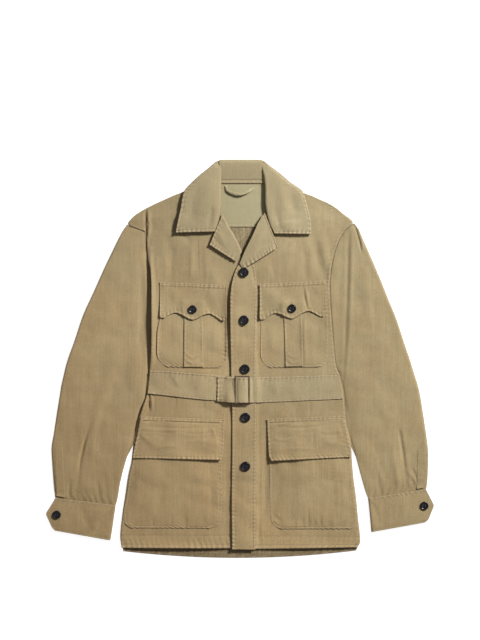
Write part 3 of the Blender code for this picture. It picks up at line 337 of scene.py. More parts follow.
CREASE_ROWS: Mapping[str, Sequence[Sequence[float]]] = {
    "back": (
        (-90, -350, -84, -180, -92, -110, 16, 1.6), (70, -340, 78, -220, 66, -120, 18, 1.4),
        (-60, 60, -72, 150, -110, 240, 14, 1.5), (80, 40, 84, 130, 120, 230, 14, 1.6),
    ),
    "front_right": (
        (-192.6, 306, -192, 280, -191.4, 250, 2.4, -3.6, 0.9),
        (-168, 212, -172, 194, -176, 178, 5, 0.9),
        (-86.1, 247, -85.3, 202, -84, 157, 1.4, -0.55, 0.7),
        (-139, 233, -140, 198, -141, 161, 7, -1.4),
        (-130.6, -76, -130.6, -88, -130.6, -100, 1.4, -1.2, 0.8),
        (-185.5, -70, -185, -88, -184, -108, 1.8, -4.4, 0.8),
        (-190, -72, -199, -106, -213, -150, 4.5, 4.6),
        (-73.8, -80, -73.8, -98, -73.8, -118, 1.4, -0.5, 0.6),
        (-28.7, -146, -27.7, -269, -26.7, -382, 6, -0.7),
        (-168, -5, -170, 120, -172, 245, 15, 2.0), (-181, -16, -180, 85, -184, 225, 6, 6.4),
        (-120, 182, -90, 176, -60, 170, 22, 1.0), (-238, -387, -140, -389, -30, -390, 11, 5.2),
        (-160, 300, -120, 262, -100, 232, 8, -1.2), (-97, 246, -99, 205, -101, 158, 6, 1.5),
        (-72, 232, -70, 200, -68, 160, 6, 1.2), (-165, 250, -156, 215, -150, 165, 9, 1.3),
        (-60, 190, -52, 165, -40, 120, 9, 1.4), (-110, -240, -60, -250, -34, -300, 8, 0.9),
    ),
    "front_left": (
        (146, 250, 165, 192, 178, 151, 10, -2.2), (164, 256, 174, 213, 182, 172, 9, 2.4),
        (127, 243, 133, 206, 135, 165, 6, -1.5), (229, 277, 207, 255, 194, 228, 3.4, 0.9),
        (194, 230, 184, 190, 180, 130, 3.4, 0.9),
        (143.5, -88, 143.5, -102, 143.5, -118, 1.4, -0.6, 0.7),
        (53, -136, 53, -228, 51, -341, 6, -2.4), (45, -330, 45, -360, 44, -388, 4, 0.9),
        (-20, -24, -21, 80, -14, 174, 24, 3.6), (-15, -110, -15, -250, -14, -389, 6, 0.3),
        (50, -390, 150, -388, 238, -385, 11, 3.6), (110, 240, 100, 210, 96, 165, 8, 1.3),
        (60, 210, 66, 190, 70, 165, 7, -1.0), (150, 262, 128, 236, 92, 215, 9, 1.0),
    ),
    "sleeve_right_top": (
        (-203, 225, -200, 90, -200, -30, 9, -2.8),
        (-304, -126, -322, -190, -334, -276, 4.2, -1.5, 0.4),
        (-312, -152, -322, -186, -330, -226, 2.2, -2.0, 0.7),
        (-293, -115, -301, -167, -307, -228, 8, 1.6),
        (-384.4, -191, -381, -238, -377, -287, 1.8, -1.6),
        (-205, 59, -238, -19, -287, -126, 15, -1.8), (-250, 18, -277, -64, -297, -146, 12, 1.4),
        (-348, -249, -349.5, -269, -350.6, -287, 3, -0.9, 0.6),
        (-291, -249, -289, -273, -287, -296, 4, -0.9, 0.5),
        (-270.6, -228, -266.5, -265, -262.4, -298, 5, 0.9),
        (-262, 150, -285, 70, -318, -10, 16, 1.1),
    ),
    "sleeve_left_top": (
        (222, 262, 219, 120, 212, -40, 3.6, -1.7, 0.7), (211, 240, 207, 120, 202, -30, 14, -1.7),
        (233, 278, 241, 252, 249, 218, 2.4, -2.2, 0.7), (252, 192, 260, 120, 270, 49, 10, 1.2),
        (297, 120, 311, 49, 322, -13, 12, -1.1), (277, -54, 299, -115, 324, -167, 12, 1.3),
        (328, -140, 335, -208, 344, -269, 4.0, -1.4, 0.4),
        (324, -140, 331, -176, 338, -226, 2.6, -1.7, 0.7),
        (350, -222, 362, -245, 372, -266, 3.0, -1.1, 0.6),
        (340, -236, 352, -250, 360, -268, 3.0, -0.9, 0.6),
        (311.6, -177, 320, -228, 326, -275, 6, 1.1),
        (279, -228, 285, -259, 289, -281, 4, -0.9, 0.5),
        (372, -185, 373, -220, 371, -262, 2.4, -0.9, -0.5),
        (384, -158, 374, -166, 366, -180, 2.6, -0.9, 0.6),
        (385, -196, 376, -204, 366, -214, 2.6, -0.9, 0.6),
        (384, -226, 374, -236, 362, -242, 2.8, -1.1, 0.6),
    ),
    "hip_flap_right": (
        (-203, -136, -123, -142, -37, -139, 2.6, -0.6),
        (-131, -134, -131, -166, -131, -198, 1.7, 0.45),
        (-76, -136, -76, -168, -76, -200, 1.7, 0.4), (-205, -150, -193, -163, -176, -176, 5, 0.8),
        (-206, -146, -160, -151, -110, -147, 2.0, -0.5, 0.6),
        (-196, -160, -170, -156, -150, -163, 2.2, -0.4, 0.6),
        (-120, -150, -86, -154, -48, -149, 2.0, -0.5, -0.6),
        (-112, -172, -80, -168, -44, -176, 5, 0.6), (-170, -186, -150, -178, -120, -182, 3.2, 0.6),
        (-60, -140, -52, -156, -46, -184, 3, 0.7), (-125, -204, -66, -206, -20, -207, 9, 2.4),
    ),
    "hip_flap_left": (
        (61, -148, 86, -140, 107, -132, 3.5, -0.9, 0.6),
        (150.7, -146, 150.7, -168, 151, -191, 2.4, -0.35, 0.6),
        (117, -158, 117, -176, 117, -196, 1.7, 0.3), (117, -157, 134, -156, 152, -155, 1.7, 0.3),
        (197, -134, 202, -146, 207, -159, 4, 0.7),
        (70, -136, 120, -141, 190, -133, 2.4, -0.7, 0.6), (66, -158, 84, -166, 106, -162, 3, 0.8),
        (160, -150, 180, -156, 212, -150, 2.6, -0.5, 0.6),
        (76, -190, 110, -184, 160, -186, 3, 0.6), (168, -170, 188, -172, 214, -176, 5, 0.6),
        (40, -209, 84, -208, 140, -204, 9, 2.4),
    ),
    "chest_flap_right": (
        (-133, 141, -133, 126, -132, 108, 8, 0.6), (-60, 140, -62, 122, -60, 100, 9, 0.5),
    ),
    "chest_flap_left": (
        (130.2, 146, 133, 124, 138.4, 98, 2.0, -2.2, 0.9), (70, 140, 72, 120, 70, 98, 9, 0.5),
    ),
    "belt_right": (
        (-152, -37, -141, -48, -131, -61, 6, -1.0, 0.4), (-90, -40, -84, -60, -86, -80, 9, 0.6),
    ),
    "belt_left": ((123, -43, 129, -58, 133, -75, 7, -0.6), (72, -46, 73, -62, 74, -80, 8, 0.6)),
    "cuff_right": (
        (-328, -299, -316, -330, -307, -361, 8, -1.1),
        (-254, -306, -282, -336, -304, -364, 7, -2.4, -0.6),
    ),
    "cuff_left": (
        (297, -283, 293, -320, 289, -347, 8, -1.0), (338, -279, 336, -305, 334, -331, 8, 1.2),
        (268, -296, 280, -318, 282, -346, 6, -1.2),
    ),
    "hip_pocket_right": (
        (-164, -218, -166, -270, -168, -331, 10, -0.9), (-82, -230, -81, -280, -80, -331, 12, 0.9),
        (-240, -335, -228, -340, -215, -345, 2, 0.9), (-205, -215, -210, -260, -214, -310, 9, 0.7),
        (-62, -215, -58, -270, -60, -340, 5, -1.0, 0.5),
        (-140, -322, -141, -334, -140, -346, 2.6, -0.7, 0.6),
        (-112, -324, -110, -334, -111, -346, 2.6, -0.7, 0.6),
        (-176, -324, -178, -334, -177, -345, 2.6, -0.7, 0.6),
    ),
    "hip_pocket_left": (
        (123, -218, 124, -270, 125, -331, 12, 0.9), (184, -228, 189, -270, 193, -320, 10, -0.9),
        (112, -330, 113, -338, 112, -347, 2.6, -0.4, 0.7),
        (127, -322, 128, -333, 126, -347, 3.0, -0.5, 0.7),
        (141, -308, 140, -328, 142, -347, 2.4, -0.7, 0.7),
        (152, -326, 154, -336, 153, -347, 2.0, -0.4, 0.7),
        (166, -314, 164, -330, 167, -347, 3.2, -0.6, 0.7),
        (184, -330, 185, -338, 184, -347, 2.6, -0.4, 0.7),
        (70, -318, 76, -326, 86, -330, 2.4, -0.9, 0.7), (68, -330, 76, -336, 88, -340, 2.2, 0.8),
    ),
    "chest_pocket_right": (
        (-143, 69, -144, 44, -145, 14, 6, -0.6), (-50, 60, -50, 40, -52, 10, 7, 0.5),
    ),
    "chest_pocket_left": (
        (160, 75, 162, 46, 164, 14, 6, -0.6), (66, 62, 66, 40, 64, 8, 7, 0.5),
        (131.5, 88, 132.6, 36, 134.4, -14, 3, 1.6),
    ),
    "chest_pleat_right": (
        (-113, 16, -105, 6, -96, 3, 2.4, 0.9), (-96, 3, -87, 6, -78, 16, 2.4, 0.9),
        (-113, 3, -105, -6, -96, -9, 2.4, 0.8), (-96, -9, -87, -6, -78, 3, 2.4, 0.8),
    ),
    "chest_pleat_left": (
        (95, 16, 103, 6, 111, 3, 2.4, 0.9), (111, 3, 119, 6, 127, 16, 2.4, 0.9),
        (95, 3, 103, -6, 111, -9, 2.4, 0.8), (111, -9, 119, -6, 127, 3, 2.4, 0.8),
    ),
    "lapel_right": (
        (-52, 262, -40, 250, -26, 226, 6, 1.0), (-56, 240, -44, 236, -34, 222, 4, -0.8),
    ),
    "lapel_left": ((66, 236, 48, 232, 34, 214, 5, -1.0), (52, 270, 40, 250, 24, 226, 6, 0.9)),
    "collar_right": (
        (-96, 336, -98, 312, -100, 290, 10, -2.0), (-112, 296, -121, 280, -130, 263, 15, 2.2),
        (-60, 372, -72, 330, -76, 290, 13, 1.8), (-56, 310, -60, 290, -64, 266, 5, -1.2),
    ),
    "collar_left": (
        (104, 336, 108, 316, 111, 296, 11, -1.8), (98, 284, 100, 271, 102, 258, 17, 2.2),
        (60, 380, 84, 340, 92, 300, 14, 1.5), (70, 320, 76, 290, 84, 262, 6, -1.1),
    ),
}
CREASES = {piece: [Crease(*row) for row in rows] for piece, rows in CREASE_ROWS.items()}

# Patches of painted light and shade, where the colour is brightened or darkened for the light:
# across, along and reach in millimetres, and share of brightness, of each patch.
PAINTED_LIGHT_PATCHES = (
    (-150, 300, 115, -0.14), (-310, 60, 120, 0.1), (-46, -60, 55, 0.19), (70, 42, 45, 0.15),
    (50, -376, 90, 0.19), (-90, -250, 90, 0.13), (225, -230, 70, 0.1), (130, 285, 80, 0.09),
    (-74, 34, 66, 0.2), (244, 262, 45, -0.12), (-98, -165, 55, 0.1), (-238, -255, 38, -0.14),
    (386, -235, 42, -0.13), (-20, -125, 40, 0.12), (158, 40, 34, -0.07),
)


def painted_light_and_shade(x: np.ndarray, y: np.ndarray) -> np.ndarray:
    """Adds up the patches of painted light and shade, where the colour is brightened or darkened.
    """
    return sum(
        share * np.exp(-((x - px) ** 2 + (y - py) ** 2) / reach ** 2)
        for px, py, reach, share in PAINTED_LIGHT_PATCHES
    )


NOISE_POINTS = 97


def noise(x: np.ndarray, y: np.ndarray, size: float, seed: int) -> np.ndarray:
    """Smooth seeded unevenness.

    Args:
        x: First coordinate.
        y: Second coordinate.
        size: Distance between the lattice points.
        seed: Seed of the lattice.

    Returns:
        Values between -1 and 1.
    """
    lattice = np.random.default_rng(seed).uniform(-1, 1, (NOISE_POINTS, NOISE_POINTS))
    u = np.asarray(x) / size
    v = np.asarray(y) / size
    column = np.floor(u).astype(int)
    row = np.floor(v).astype(int)
    s, t = (share * share * (3 - 2 * share) for share in (u - column, v - row))
    c0, c1, r0, r1 = (one % NOISE_POINTS for one in (column, column + 1, row, row + 1))
    return blend([lattice[r, c] for r in (r0, r1) for c in (c0, c1)], s, t)


@dataclass(frozen=True)
class Seam:
    """How an edge is sewn: rows of stitches by their distance from it, and its puckers."""

    rows: tuple[float, ...] = (4.2,)
    pucker: float = 0.8
    pitch: float = 8.5
    fade: float = 8.0
    bead: float = 0.6
    groove: float = 0.45

    BEAD_PLACE = 1.8
    BEAD_WIDTH = 1.9
    GROOVE_WIDTH = 1.2
    CLOSE_ROWS = 8
    RIDGE_SHARE = 0.8
    RIDGE_WIDTH = 1.7
    SWING = 2.4
    WAVE_MEAN = 0.6
    WAVE_UNEVEN = 0.4
    LEAN = 0.25

    def relief(self, inset: np.ndarray, along: np.ndarray, seed: int) -> np.ndarray:
        """Works out what the seam adds to a surface.

        Args:
            inset: Distance from the sewn edge, in millimetres.
            along: Place along the edge, in millimetres.
            seed: Seed of the unevenness.

        Returns:
            Heights to add, in millimetres.
        """
        total = self.bead * bell(inset - self.BEAD_PLACE, self.BEAD_WIDTH)
        for row in self.rows:
            total = total - self.groove * bell(inset - row, self.GROOVE_WIDTH)
        for first, second in zip(self.rows, self.rows[1:]):
            if second - first < self.CLOSE_ROWS:
                ridge = bell(inset - (first + second) / 2, self.RIDGE_WIDTH)
                total = total + self.RIDGE_SHARE * self.bead * ridge
        return total + self.pucker * self.wave(inset, along, seed)

    def wave(self, inset: np.ndarray, along: np.ndarray, seed: int) -> np.ndarray:
        """Works out the puckers that the stitches draw.

        Args:
            inset: Distance from the sewn edge, in millimetres.
            along: Place along the edge, in millimetres.
            seed: Seed of the unevenness.

        Returns:
            Values from -1 in the hollows to 1 on the crests.
        """
        flat = np.zeros_like(along)
        swing = self.SWING * noise(along, flat + seed, size=19, seed=seed)
        uneven = noise(along, flat + 3.5 * seed, size=26, seed=seed + 1)
        size = self.WAVE_MEAN + self.WAVE_UNEVEN * uneven
        wave = np.sin(2 * math.pi * (along + swing + self.LEAN * inset) / self.pitch)
        return size * wave * bell(inset, self.fade)


@dataclass
class Grid:
    """Points of a panel with their distance from each edge."""

    points: np.ndarray
    inset: dict[Edge, np.ndarray]
    along: dict[Edge, np.ndarray]
    size: tuple[float, float]

    def lift(self) -> np.ndarray:
        """Finds the upward normals.

        Returns:
            One unit vector a point, with Z above zero where the panel isn't folded over.
        """
        normal = np.cross(np.gradient(self.points, axis=1), np.gradient(self.points, axis=0))
        normal /= np.maximum(np.linalg.norm(normal, axis=2, keepdims=True), TINY)
        return normal * self.turn()

    def turn(self) -> int:
        """Tells the sense of the grid.

        Returns:
            1 where columns to rows turn left as seen from above at the first rows, else -1.
        """
        across = self.points[1, -1] - self.points[1, 0]
        along = self.points[3].mean(axis=0) - self.points[0].mean(axis=0)
        return 1 if across[0] * along[1] - across[1] * along[0] > 0 else -1

    def area(self) -> float:
        """Measures the panel.

        Returns:
            The area of one side, in square millimetres.
        """
        p = self.points
        diagonal_a = p[1:, 1:] - p[:-1, :-1]
        diagonal_b = p[1:, :-1] - p[:-1, 1:]
        return float(np.linalg.norm(np.cross(diagonal_a, diagonal_b), axis=2).sum() / 2)


TUCK_LEVELS = (-200.0, -176.0, -70.0, -50.0)
TUCK_SHARES = (0.02, 0.55, 0.55, 1.0)
NEAR_EDGE = np.array([0.0, 0.35, 0.9, 1.7, 2.7, 3.8, 5.0, 6.2, 7.6, 9.4])


@dataclass(frozen=True)
class Loft:
    """A panel between two edge lines, through its sections.

    tuck is how far it goes on beyond edge b, under its neighbour, at the height of that edge.
    """

    rows: Sequence[Section]
    step: float
    roll_a: float = 0.0
    roll_b: float = 0.0
    bow: float = 0.0
    tuck: float = 0.0
    straight: bool = False

    EDGE_SHARE = 0.4
    END_SHARE = 0.3
    ROLL_SHARE = 0.3
    BOW_FADE = 30
    TUCK_PLACES = (0.2, 0.6, 1.0)
    LEAST_STEP = 0.3

    def grid(self) -> Grid:
        """Lays the points out, closer together near the edges.

        Returns:
            The points and their distances from the edges.
        """
        place, sections = self._sections()
        widths = np.hypot(sections[:, 2] - sections[:, 0], sections[:, 3] - sections[:, 1])
        inner = max(2, round((widths.max() - 2 * NEAR_EDGE[-1]) / self.step))
        lines = []
        across_all = []
        for number, (ax, ay, bx, by, za, zm, zb) in enumerate(sections):
            width = widths[number]
            near = NEAR_EDGE * min(1.0, self.EDGE_SHARE * width / NEAR_EDGE[-1])
            middle = np.linspace(near[-1], width - near[-1], inner + 1)[1:-1]
            across = np.concatenate([near, middle, (width - near)[::-1]])
            if self.tuck:
                reach = self.tuck * float(np.interp(by, TUCK_LEVELS, TUCK_SHARES))
                across = np.concatenate([across, width + reach * np.array(self.TUCK_PLACES)])
            share = across / width
            most = self.ROLL_SHARE * width
            low_a = (zm - za) * (1 - quarter_round(across, min(self.roll_a, most)))
            low_b = (zm - zb) * (1 - quarter_round(width - across, min(self.roll_b, most)))
            fade = math.exp(-((place[number] / self.BOW_FADE) ** 2))
            bend = self.bow * 4 * share * (1 - share) * fade
            line = [ax + (bx - ax) * share, ay + (by - ay) * share + bend, zm - low_a - low_b]
            lines.append(np.stack(line, axis=1))
            across_all.append(across)
        points = np.array(lines)
        across = np.array(across_all)
        inset = {
            Edge.A: across * slant(points, 0)[:, None],
            Edge.B: (widths[:, None] - across) * slant(points, -1)[:, None],
            Edge.FIRST: np.repeat(place[:, None], across.shape[1], axis=1),
            Edge.LAST: np.repeat(place[-1] - place[:, None], across.shape[1], axis=1),
        }
        rows_along = inset[Edge.FIRST]
        along = {Edge.A: rows_along, Edge.B: rows_along, Edge.FIRST: across, Edge.LAST: across}
        return Grid(points, inset, along, (float(widths.max()), float(place[-1])))

    def _sections(self) -> tuple[np.ndarray, np.ndarray]:
        """Smooths the table.

        Returns:
            The place of each row along the panel, and the rows.
        """
        rows = np.array(self.rows, dtype=float)
        reach_a = np.hypot(np.diff(rows[:, 0]), np.diff(rows[:, 1]))
        reach_b = np.hypot(np.diff(rows[:, 2]), np.diff(rows[:, 3]))
        knots = np.concatenate([[0.0], np.cumsum(np.maximum((reach_a + reach_b) / 2, 0.5))])
        steps = np.linspace(0, knots[-1], max(4, round(knots[-1] / self.step)) + 1)
        near = NEAR_EDGE * min(1.0, self.END_SHARE * knots[-1] / NEAR_EDGE[-1])
        wanted = np.unique(np.concatenate([steps, near, knots[-1] - near]))
        keep = np.concatenate([[True], np.diff(wanted) > self.LEAST_STEP])
        keep[-1] = True
        wanted = wanted[keep]
        if self.straight:
            return wanted, np.stack([np.interp(wanted, knots, column) for column in rows.T], axis=1)
        return wanted, monotone_curve(knots, rows, wanted)


def quarter_round(distance: np.ndarray, radius: float) -> np.ndarray:
    """Rises from 0 at an edge to 1 at a radius from it, as a quarter circle.

    Args:
        distance: Distance from the edge.
        radius: Where the rise ends.

    Returns:
        Shares of the full height.
    """
    if radius <= 0:
        return np.ones_like(distance)
    return np.sqrt(np.maximum(0.0, 1 - (1 - np.clip(distance / radius, 0, 1)) ** 2))


def slant(points: np.ndarray, column: int) -> np.ndarray:
    """Compares each row's direction with an edge's.

    Args:
        points: Grid of points.
        column: Column of the edge.

    Returns:
        The sine of the angle between them, a row each.
    """
    edge = np.gradient(points[:, column, :2], axis=0)
    row = points[:, -1, :2] - points[:, 0, :2]
    cross = np.abs(edge[:, 0] * row[:, 1] - edge[:, 1] * row[:, 0])
    lengths = np.linalg.norm(edge, axis=1) * np.linalg.norm(row, axis=1)
    return np.clip(cross / np.maximum(lengths, TINY), 0.1, 1)


def monotone_curve(place: np.ndarray, rows: np.ndarray, wanted: np.ndarray) -> np.ndarray:
    """Smooth values between rows that never overshoot a row.

    Args:
        place: Place of each row.
        rows: Values, a row each.
        wanted: Places to work out.

    Returns:
        Values at those places.
    """
    span = np.diff(place)[:, None]
    slope = np.diff(rows, axis=0) / span
    tangent = np.zeros_like(rows)
    tangent[0] = slope[0]
    tangent[-1] = slope[-1]
    before, after = slope[:-1], slope[1:]
    same_way = before * after > 0
    weight_a = 2 * span[1:] + span[:-1]
    weight_b = span[1:] + 2 * span[:-1]
    slopes = weight_a / np.where(same_way, before, 1.0) + weight_b / np.where(same_way, after, 1.0)
    mean = (weight_a + weight_b) / slopes
    tangent[1:-1] = np.where(same_way, mean, 0.0)
    index = np.clip(np.searchsorted(place, wanted, side="right") - 1, 0, len(place) - 2)
    share = ((wanted - place[index]) / np.diff(place)[index])[:, None]
    square = share * share
    cube = square * share
    start = rows[index] * (2 * cube - 3 * square + 1) + rows[index + 1] * (3 * square - 2 * cube)
    turn = tangent[index] * (cube - 2 * square + share) + tangent[index + 1] * (cube - square)
    return start + span[index] * turn


class HeightField:
    """The top of what has been laid so far, as a raster of heights in millimetres."""

    CELL = 2.0
    LEFT = -420.0
    LOW = -430.0
    COLUMNS = 421
    ROWS = 431
    FINE = 1.6

    def __init__(self, level: float = 0.0) -> None:
        """Starts level, on the ground or at a given height."""
        self.heights = np.full((self.ROWS, self.COLUMNS), level)

    def copy(self) -> "HeightField":
        """Copies the field.

        Returns:
            A field that changes on its own.
        """
        made = HeightField()
        made.heights = self.heights.copy()
        return made

    def add(self, top: np.ndarray) -> None:
        """Lays a surface on the field.

        Args:
            top: Grid of points of the surface.
        """
        widest = max(np.linalg.norm(np.diff(top[..., :2], axis=k), axis=2).max() for k in (0, 1))
        parts = max(1, math.ceil(widest / self.FINE))
        corners = top[:-1, :-1], top[:-1, 1:], top[1:, :-1], top[1:, 1:]
        for i in range(parts):
            for j in range(parts):
                s, t = i / parts, j / parts
                spot = blend(corners, t, s).reshape(-1, 3)
                column = np.rint((spot[:, 0] - self.LEFT) / self.CELL).astype(int)
                row = np.rint((spot[:, 1] - self.LOW) / self.CELL).astype(int)
                cell = np.clip(row, 0, self.ROWS - 1), np.clip(column, 0, self.COLUMNS - 1)
                np.maximum.at(self.heights, cell, spot[:, 2])

    @staticmethod
    def _beside(raster: np.ndarray) -> list[np.ndarray]:
        """Moves a raster by one cell to each of its four sides."""
        pad = np.pad(raster, 1, mode="edge")
        return [pad[:-2, 1:-1], pad[2:, 1:-1], pad[1:-1, :-2], pad[1:-1, 2:]]

    def spread(self, reach: float) -> np.ndarray:
        """Widens every high place.

        Args:
            reach: How far, in millimetres.

        Returns:
            The widened raster.
        """
        wide = self.heights
        for _ in range(max(1, round(reach / self.CELL))):
            wide = np.max([wide, *self._beside(wide)], axis=0)
        return wide

    def sample(self, raster: np.ndarray, x: np.ndarray, y: np.ndarray) -> np.ndarray:
        """Reads a raster between its cells.

        Args:
            raster: Heights.
            x: Places across.
            y: Places along.

        Returns:
            Heights there.
        """
        u = np.clip((np.asarray(x) - self.LEFT) / self.CELL, 0, self.COLUMNS - 1.001)
        v = np.clip((np.asarray(y) - self.LOW) / self.CELL, 0, self.ROWS - 1.001)
        column = u.astype(int)
        row = v.astype(int)
        corners = [raster[row + j, column + i] for j in (0, 1) for i in (0, 1)]
        return blend(corners, u - column, v - row)

    def top(self, x: np.ndarray, y: np.ndarray) -> np.ndarray:
        """Reads the field's own heights."""
        return self.sample(self.heights, x, y)

    def rest(
        self, x: np.ndarray, y: np.ndarray, reach: float, passes: int
    ) -> tuple[np.ndarray, np.ndarray]:
        """Finds where cloth comes to rest on the field.

        Args:
            x: Places across.
            y: Places along.
            reach: How far a step below carries the cloth.
            passes: How softly the cloth bridges steps.

        Returns:
            The lowest heights that clear the field, and the softly bridged heights.
        """
        low = self.spread(reach)
        soft = low
        for _ in range(passes):
            soft = np.maximum(low, sum(self._beside(soft)) / 4)
        return self.sample(low, x, y), self.sample(soft, x, y)


class Nodes:
    """A short way to write shader nodes into a tree."""

    def __init__(self, tree: bpy.types.NodeTree) -> None:
        """Takes the tree."""
        self.tree = tree

    def fill(self, node: bpy.types.Node, inputs: Mapping[str | int, object]) -> None:
        """Links or sets inputs of a node.

        Args:
            node: The node.
            inputs: Sockets to link or values to set, by socket name or number.
        """
        for name, value in inputs.items():
            if isinstance(value, bpy.types.NodeSocket):
                self.tree.links.new(value, node.inputs[name])
            else:
                node.inputs[name].default_value = value

    def add(
        self, kind: str, inputs: Mapping[str | int, object] | None = None, **settings: object
    ) -> bpy.types.Node:
        """Adds a node.

        Args:
            kind: Type of the node.
            inputs: Sockets to link or values to set, by socket name or number.
            settings: Properties of the node.

        Returns:
            The node.
        """
        node = self.tree.nodes.new(kind)
        for name, value in settings.items():
            setattr(node, name, value)
        self.fill(node, inputs or {})
        return node

    def math(self, operation: str, first: object, second: object = 0.0) -> bpy.types.NodeSocket:
        """Works out one value from two."""
        return self.add("ShaderNodeMath", {0: first, 1: second}, operation=operation).outputs[0]

    def mix(self, share: object, first: object, second: object) -> bpy.types.NodeSocket:
        """Mixes two colours."""
        node = self.add("ShaderNodeMix", {0: share, 6: first, 7: second}, data_type="RGBA")
        return node.outputs[2]

    def spread(self, value: object, low: float, high: float) -> bpy.types.NodeSocket:
        """Stretches a range of values to 0 to 1."""
        return self.add("ShaderNodeMapRange", {0: value, 1: low, 2: high}).outputs[0]

    def plus(self, first: object, second: object) -> bpy.types.NodeSocket:
        """Adds two values."""
        return self.math("ADD", first, second)

    def times(self, first: object, second: object) -> bpy.types.NodeSocket:
        """Multiplies two values."""
        return self.math("MULTIPLY", first, second)

    def less(self, value: object) -> bpy.types.NodeSocket:
        """Takes a value from 1."""
        return self.math("SUBTRACT", 1.0, value)

    def speckle(
        self, where: bpy.types.NodeSocket, scale: float, detail: float
    ) -> bpy.types.NodeSocket:
        """Adds noise of a scale and detail."""
        wanted = {"Vector": where, "Scale": scale, "Detail": detail}
        return self.add("ShaderNodeTexNoise", wanted).outputs["Fac"]


def node_group(
    name: str, inputs: Mapping[str, str], outputs: Mapping[str, str]
) -> tuple[bpy.types.NodeTree, Nodes, bpy.types.Node, bpy.types.Node]:
    """Starts a shader node group.

    Args:
        name: Name of the group.
        inputs: Kind of socket of each input, by name.
        outputs: Kind of socket of each output, by name.

    Returns:
        The group, its writer, its input node and its output node.
    """
    group = bpy.data.node_groups.new(name, "ShaderNodeTree")
    for way, sockets in (("INPUT", inputs), ("OUTPUT", outputs)):
        for title, kind in sockets.items():
            group.interface.new_socket(title, in_out=way, socket_type=f"NodeSocket{kind}")
    nodes = Nodes(group)
    return group, nodes, nodes.add("NodeGroupInput"), nodes.add("NodeGroupOutput")


def weave_group() -> bpy.types.NodeTree:
    """Makes the twill: diagonal lines with slubs and a fine nap.

    Returns:
        A group that puts out the weave's height and the normal.
    """
    group, nodes, source, result = node_group(
        "twill_weave",
        {"Vector": "Vector", "Strength": "Float"},
        {"Height": "Float", "Normal": "Vector"},
    )
    where = source.outputs["Vector"]
    lines = nodes.add(
        "ShaderNodeTexWave",
        {"Vector": where, "Scale": 420.0, "Distortion": 1.2, "Detail": 1.0, "Detail Scale": 0.6},
        bands_direction="DIAGONAL",
    )
    ribs = nodes.times(lines.outputs["Fac"], 0.55)
    fuzz = nodes.times(nodes.speckle(where, 1500.0, 2.0), 0.6)
    rough = nodes.times(nodes.speckle(where, 240.0, 3.0), 0.9)
    height = nodes.plus(nodes.plus(ribs, fuzz), rough)
    bump = nodes.add(
        "ShaderNodeBump",
        {"Strength": source.outputs["Strength"], "Distance": 0.0005, "Height": height},
    )
    nodes.fill(result, {"Height": height, "Normal": bump.outputs["Normal"]})
    return group


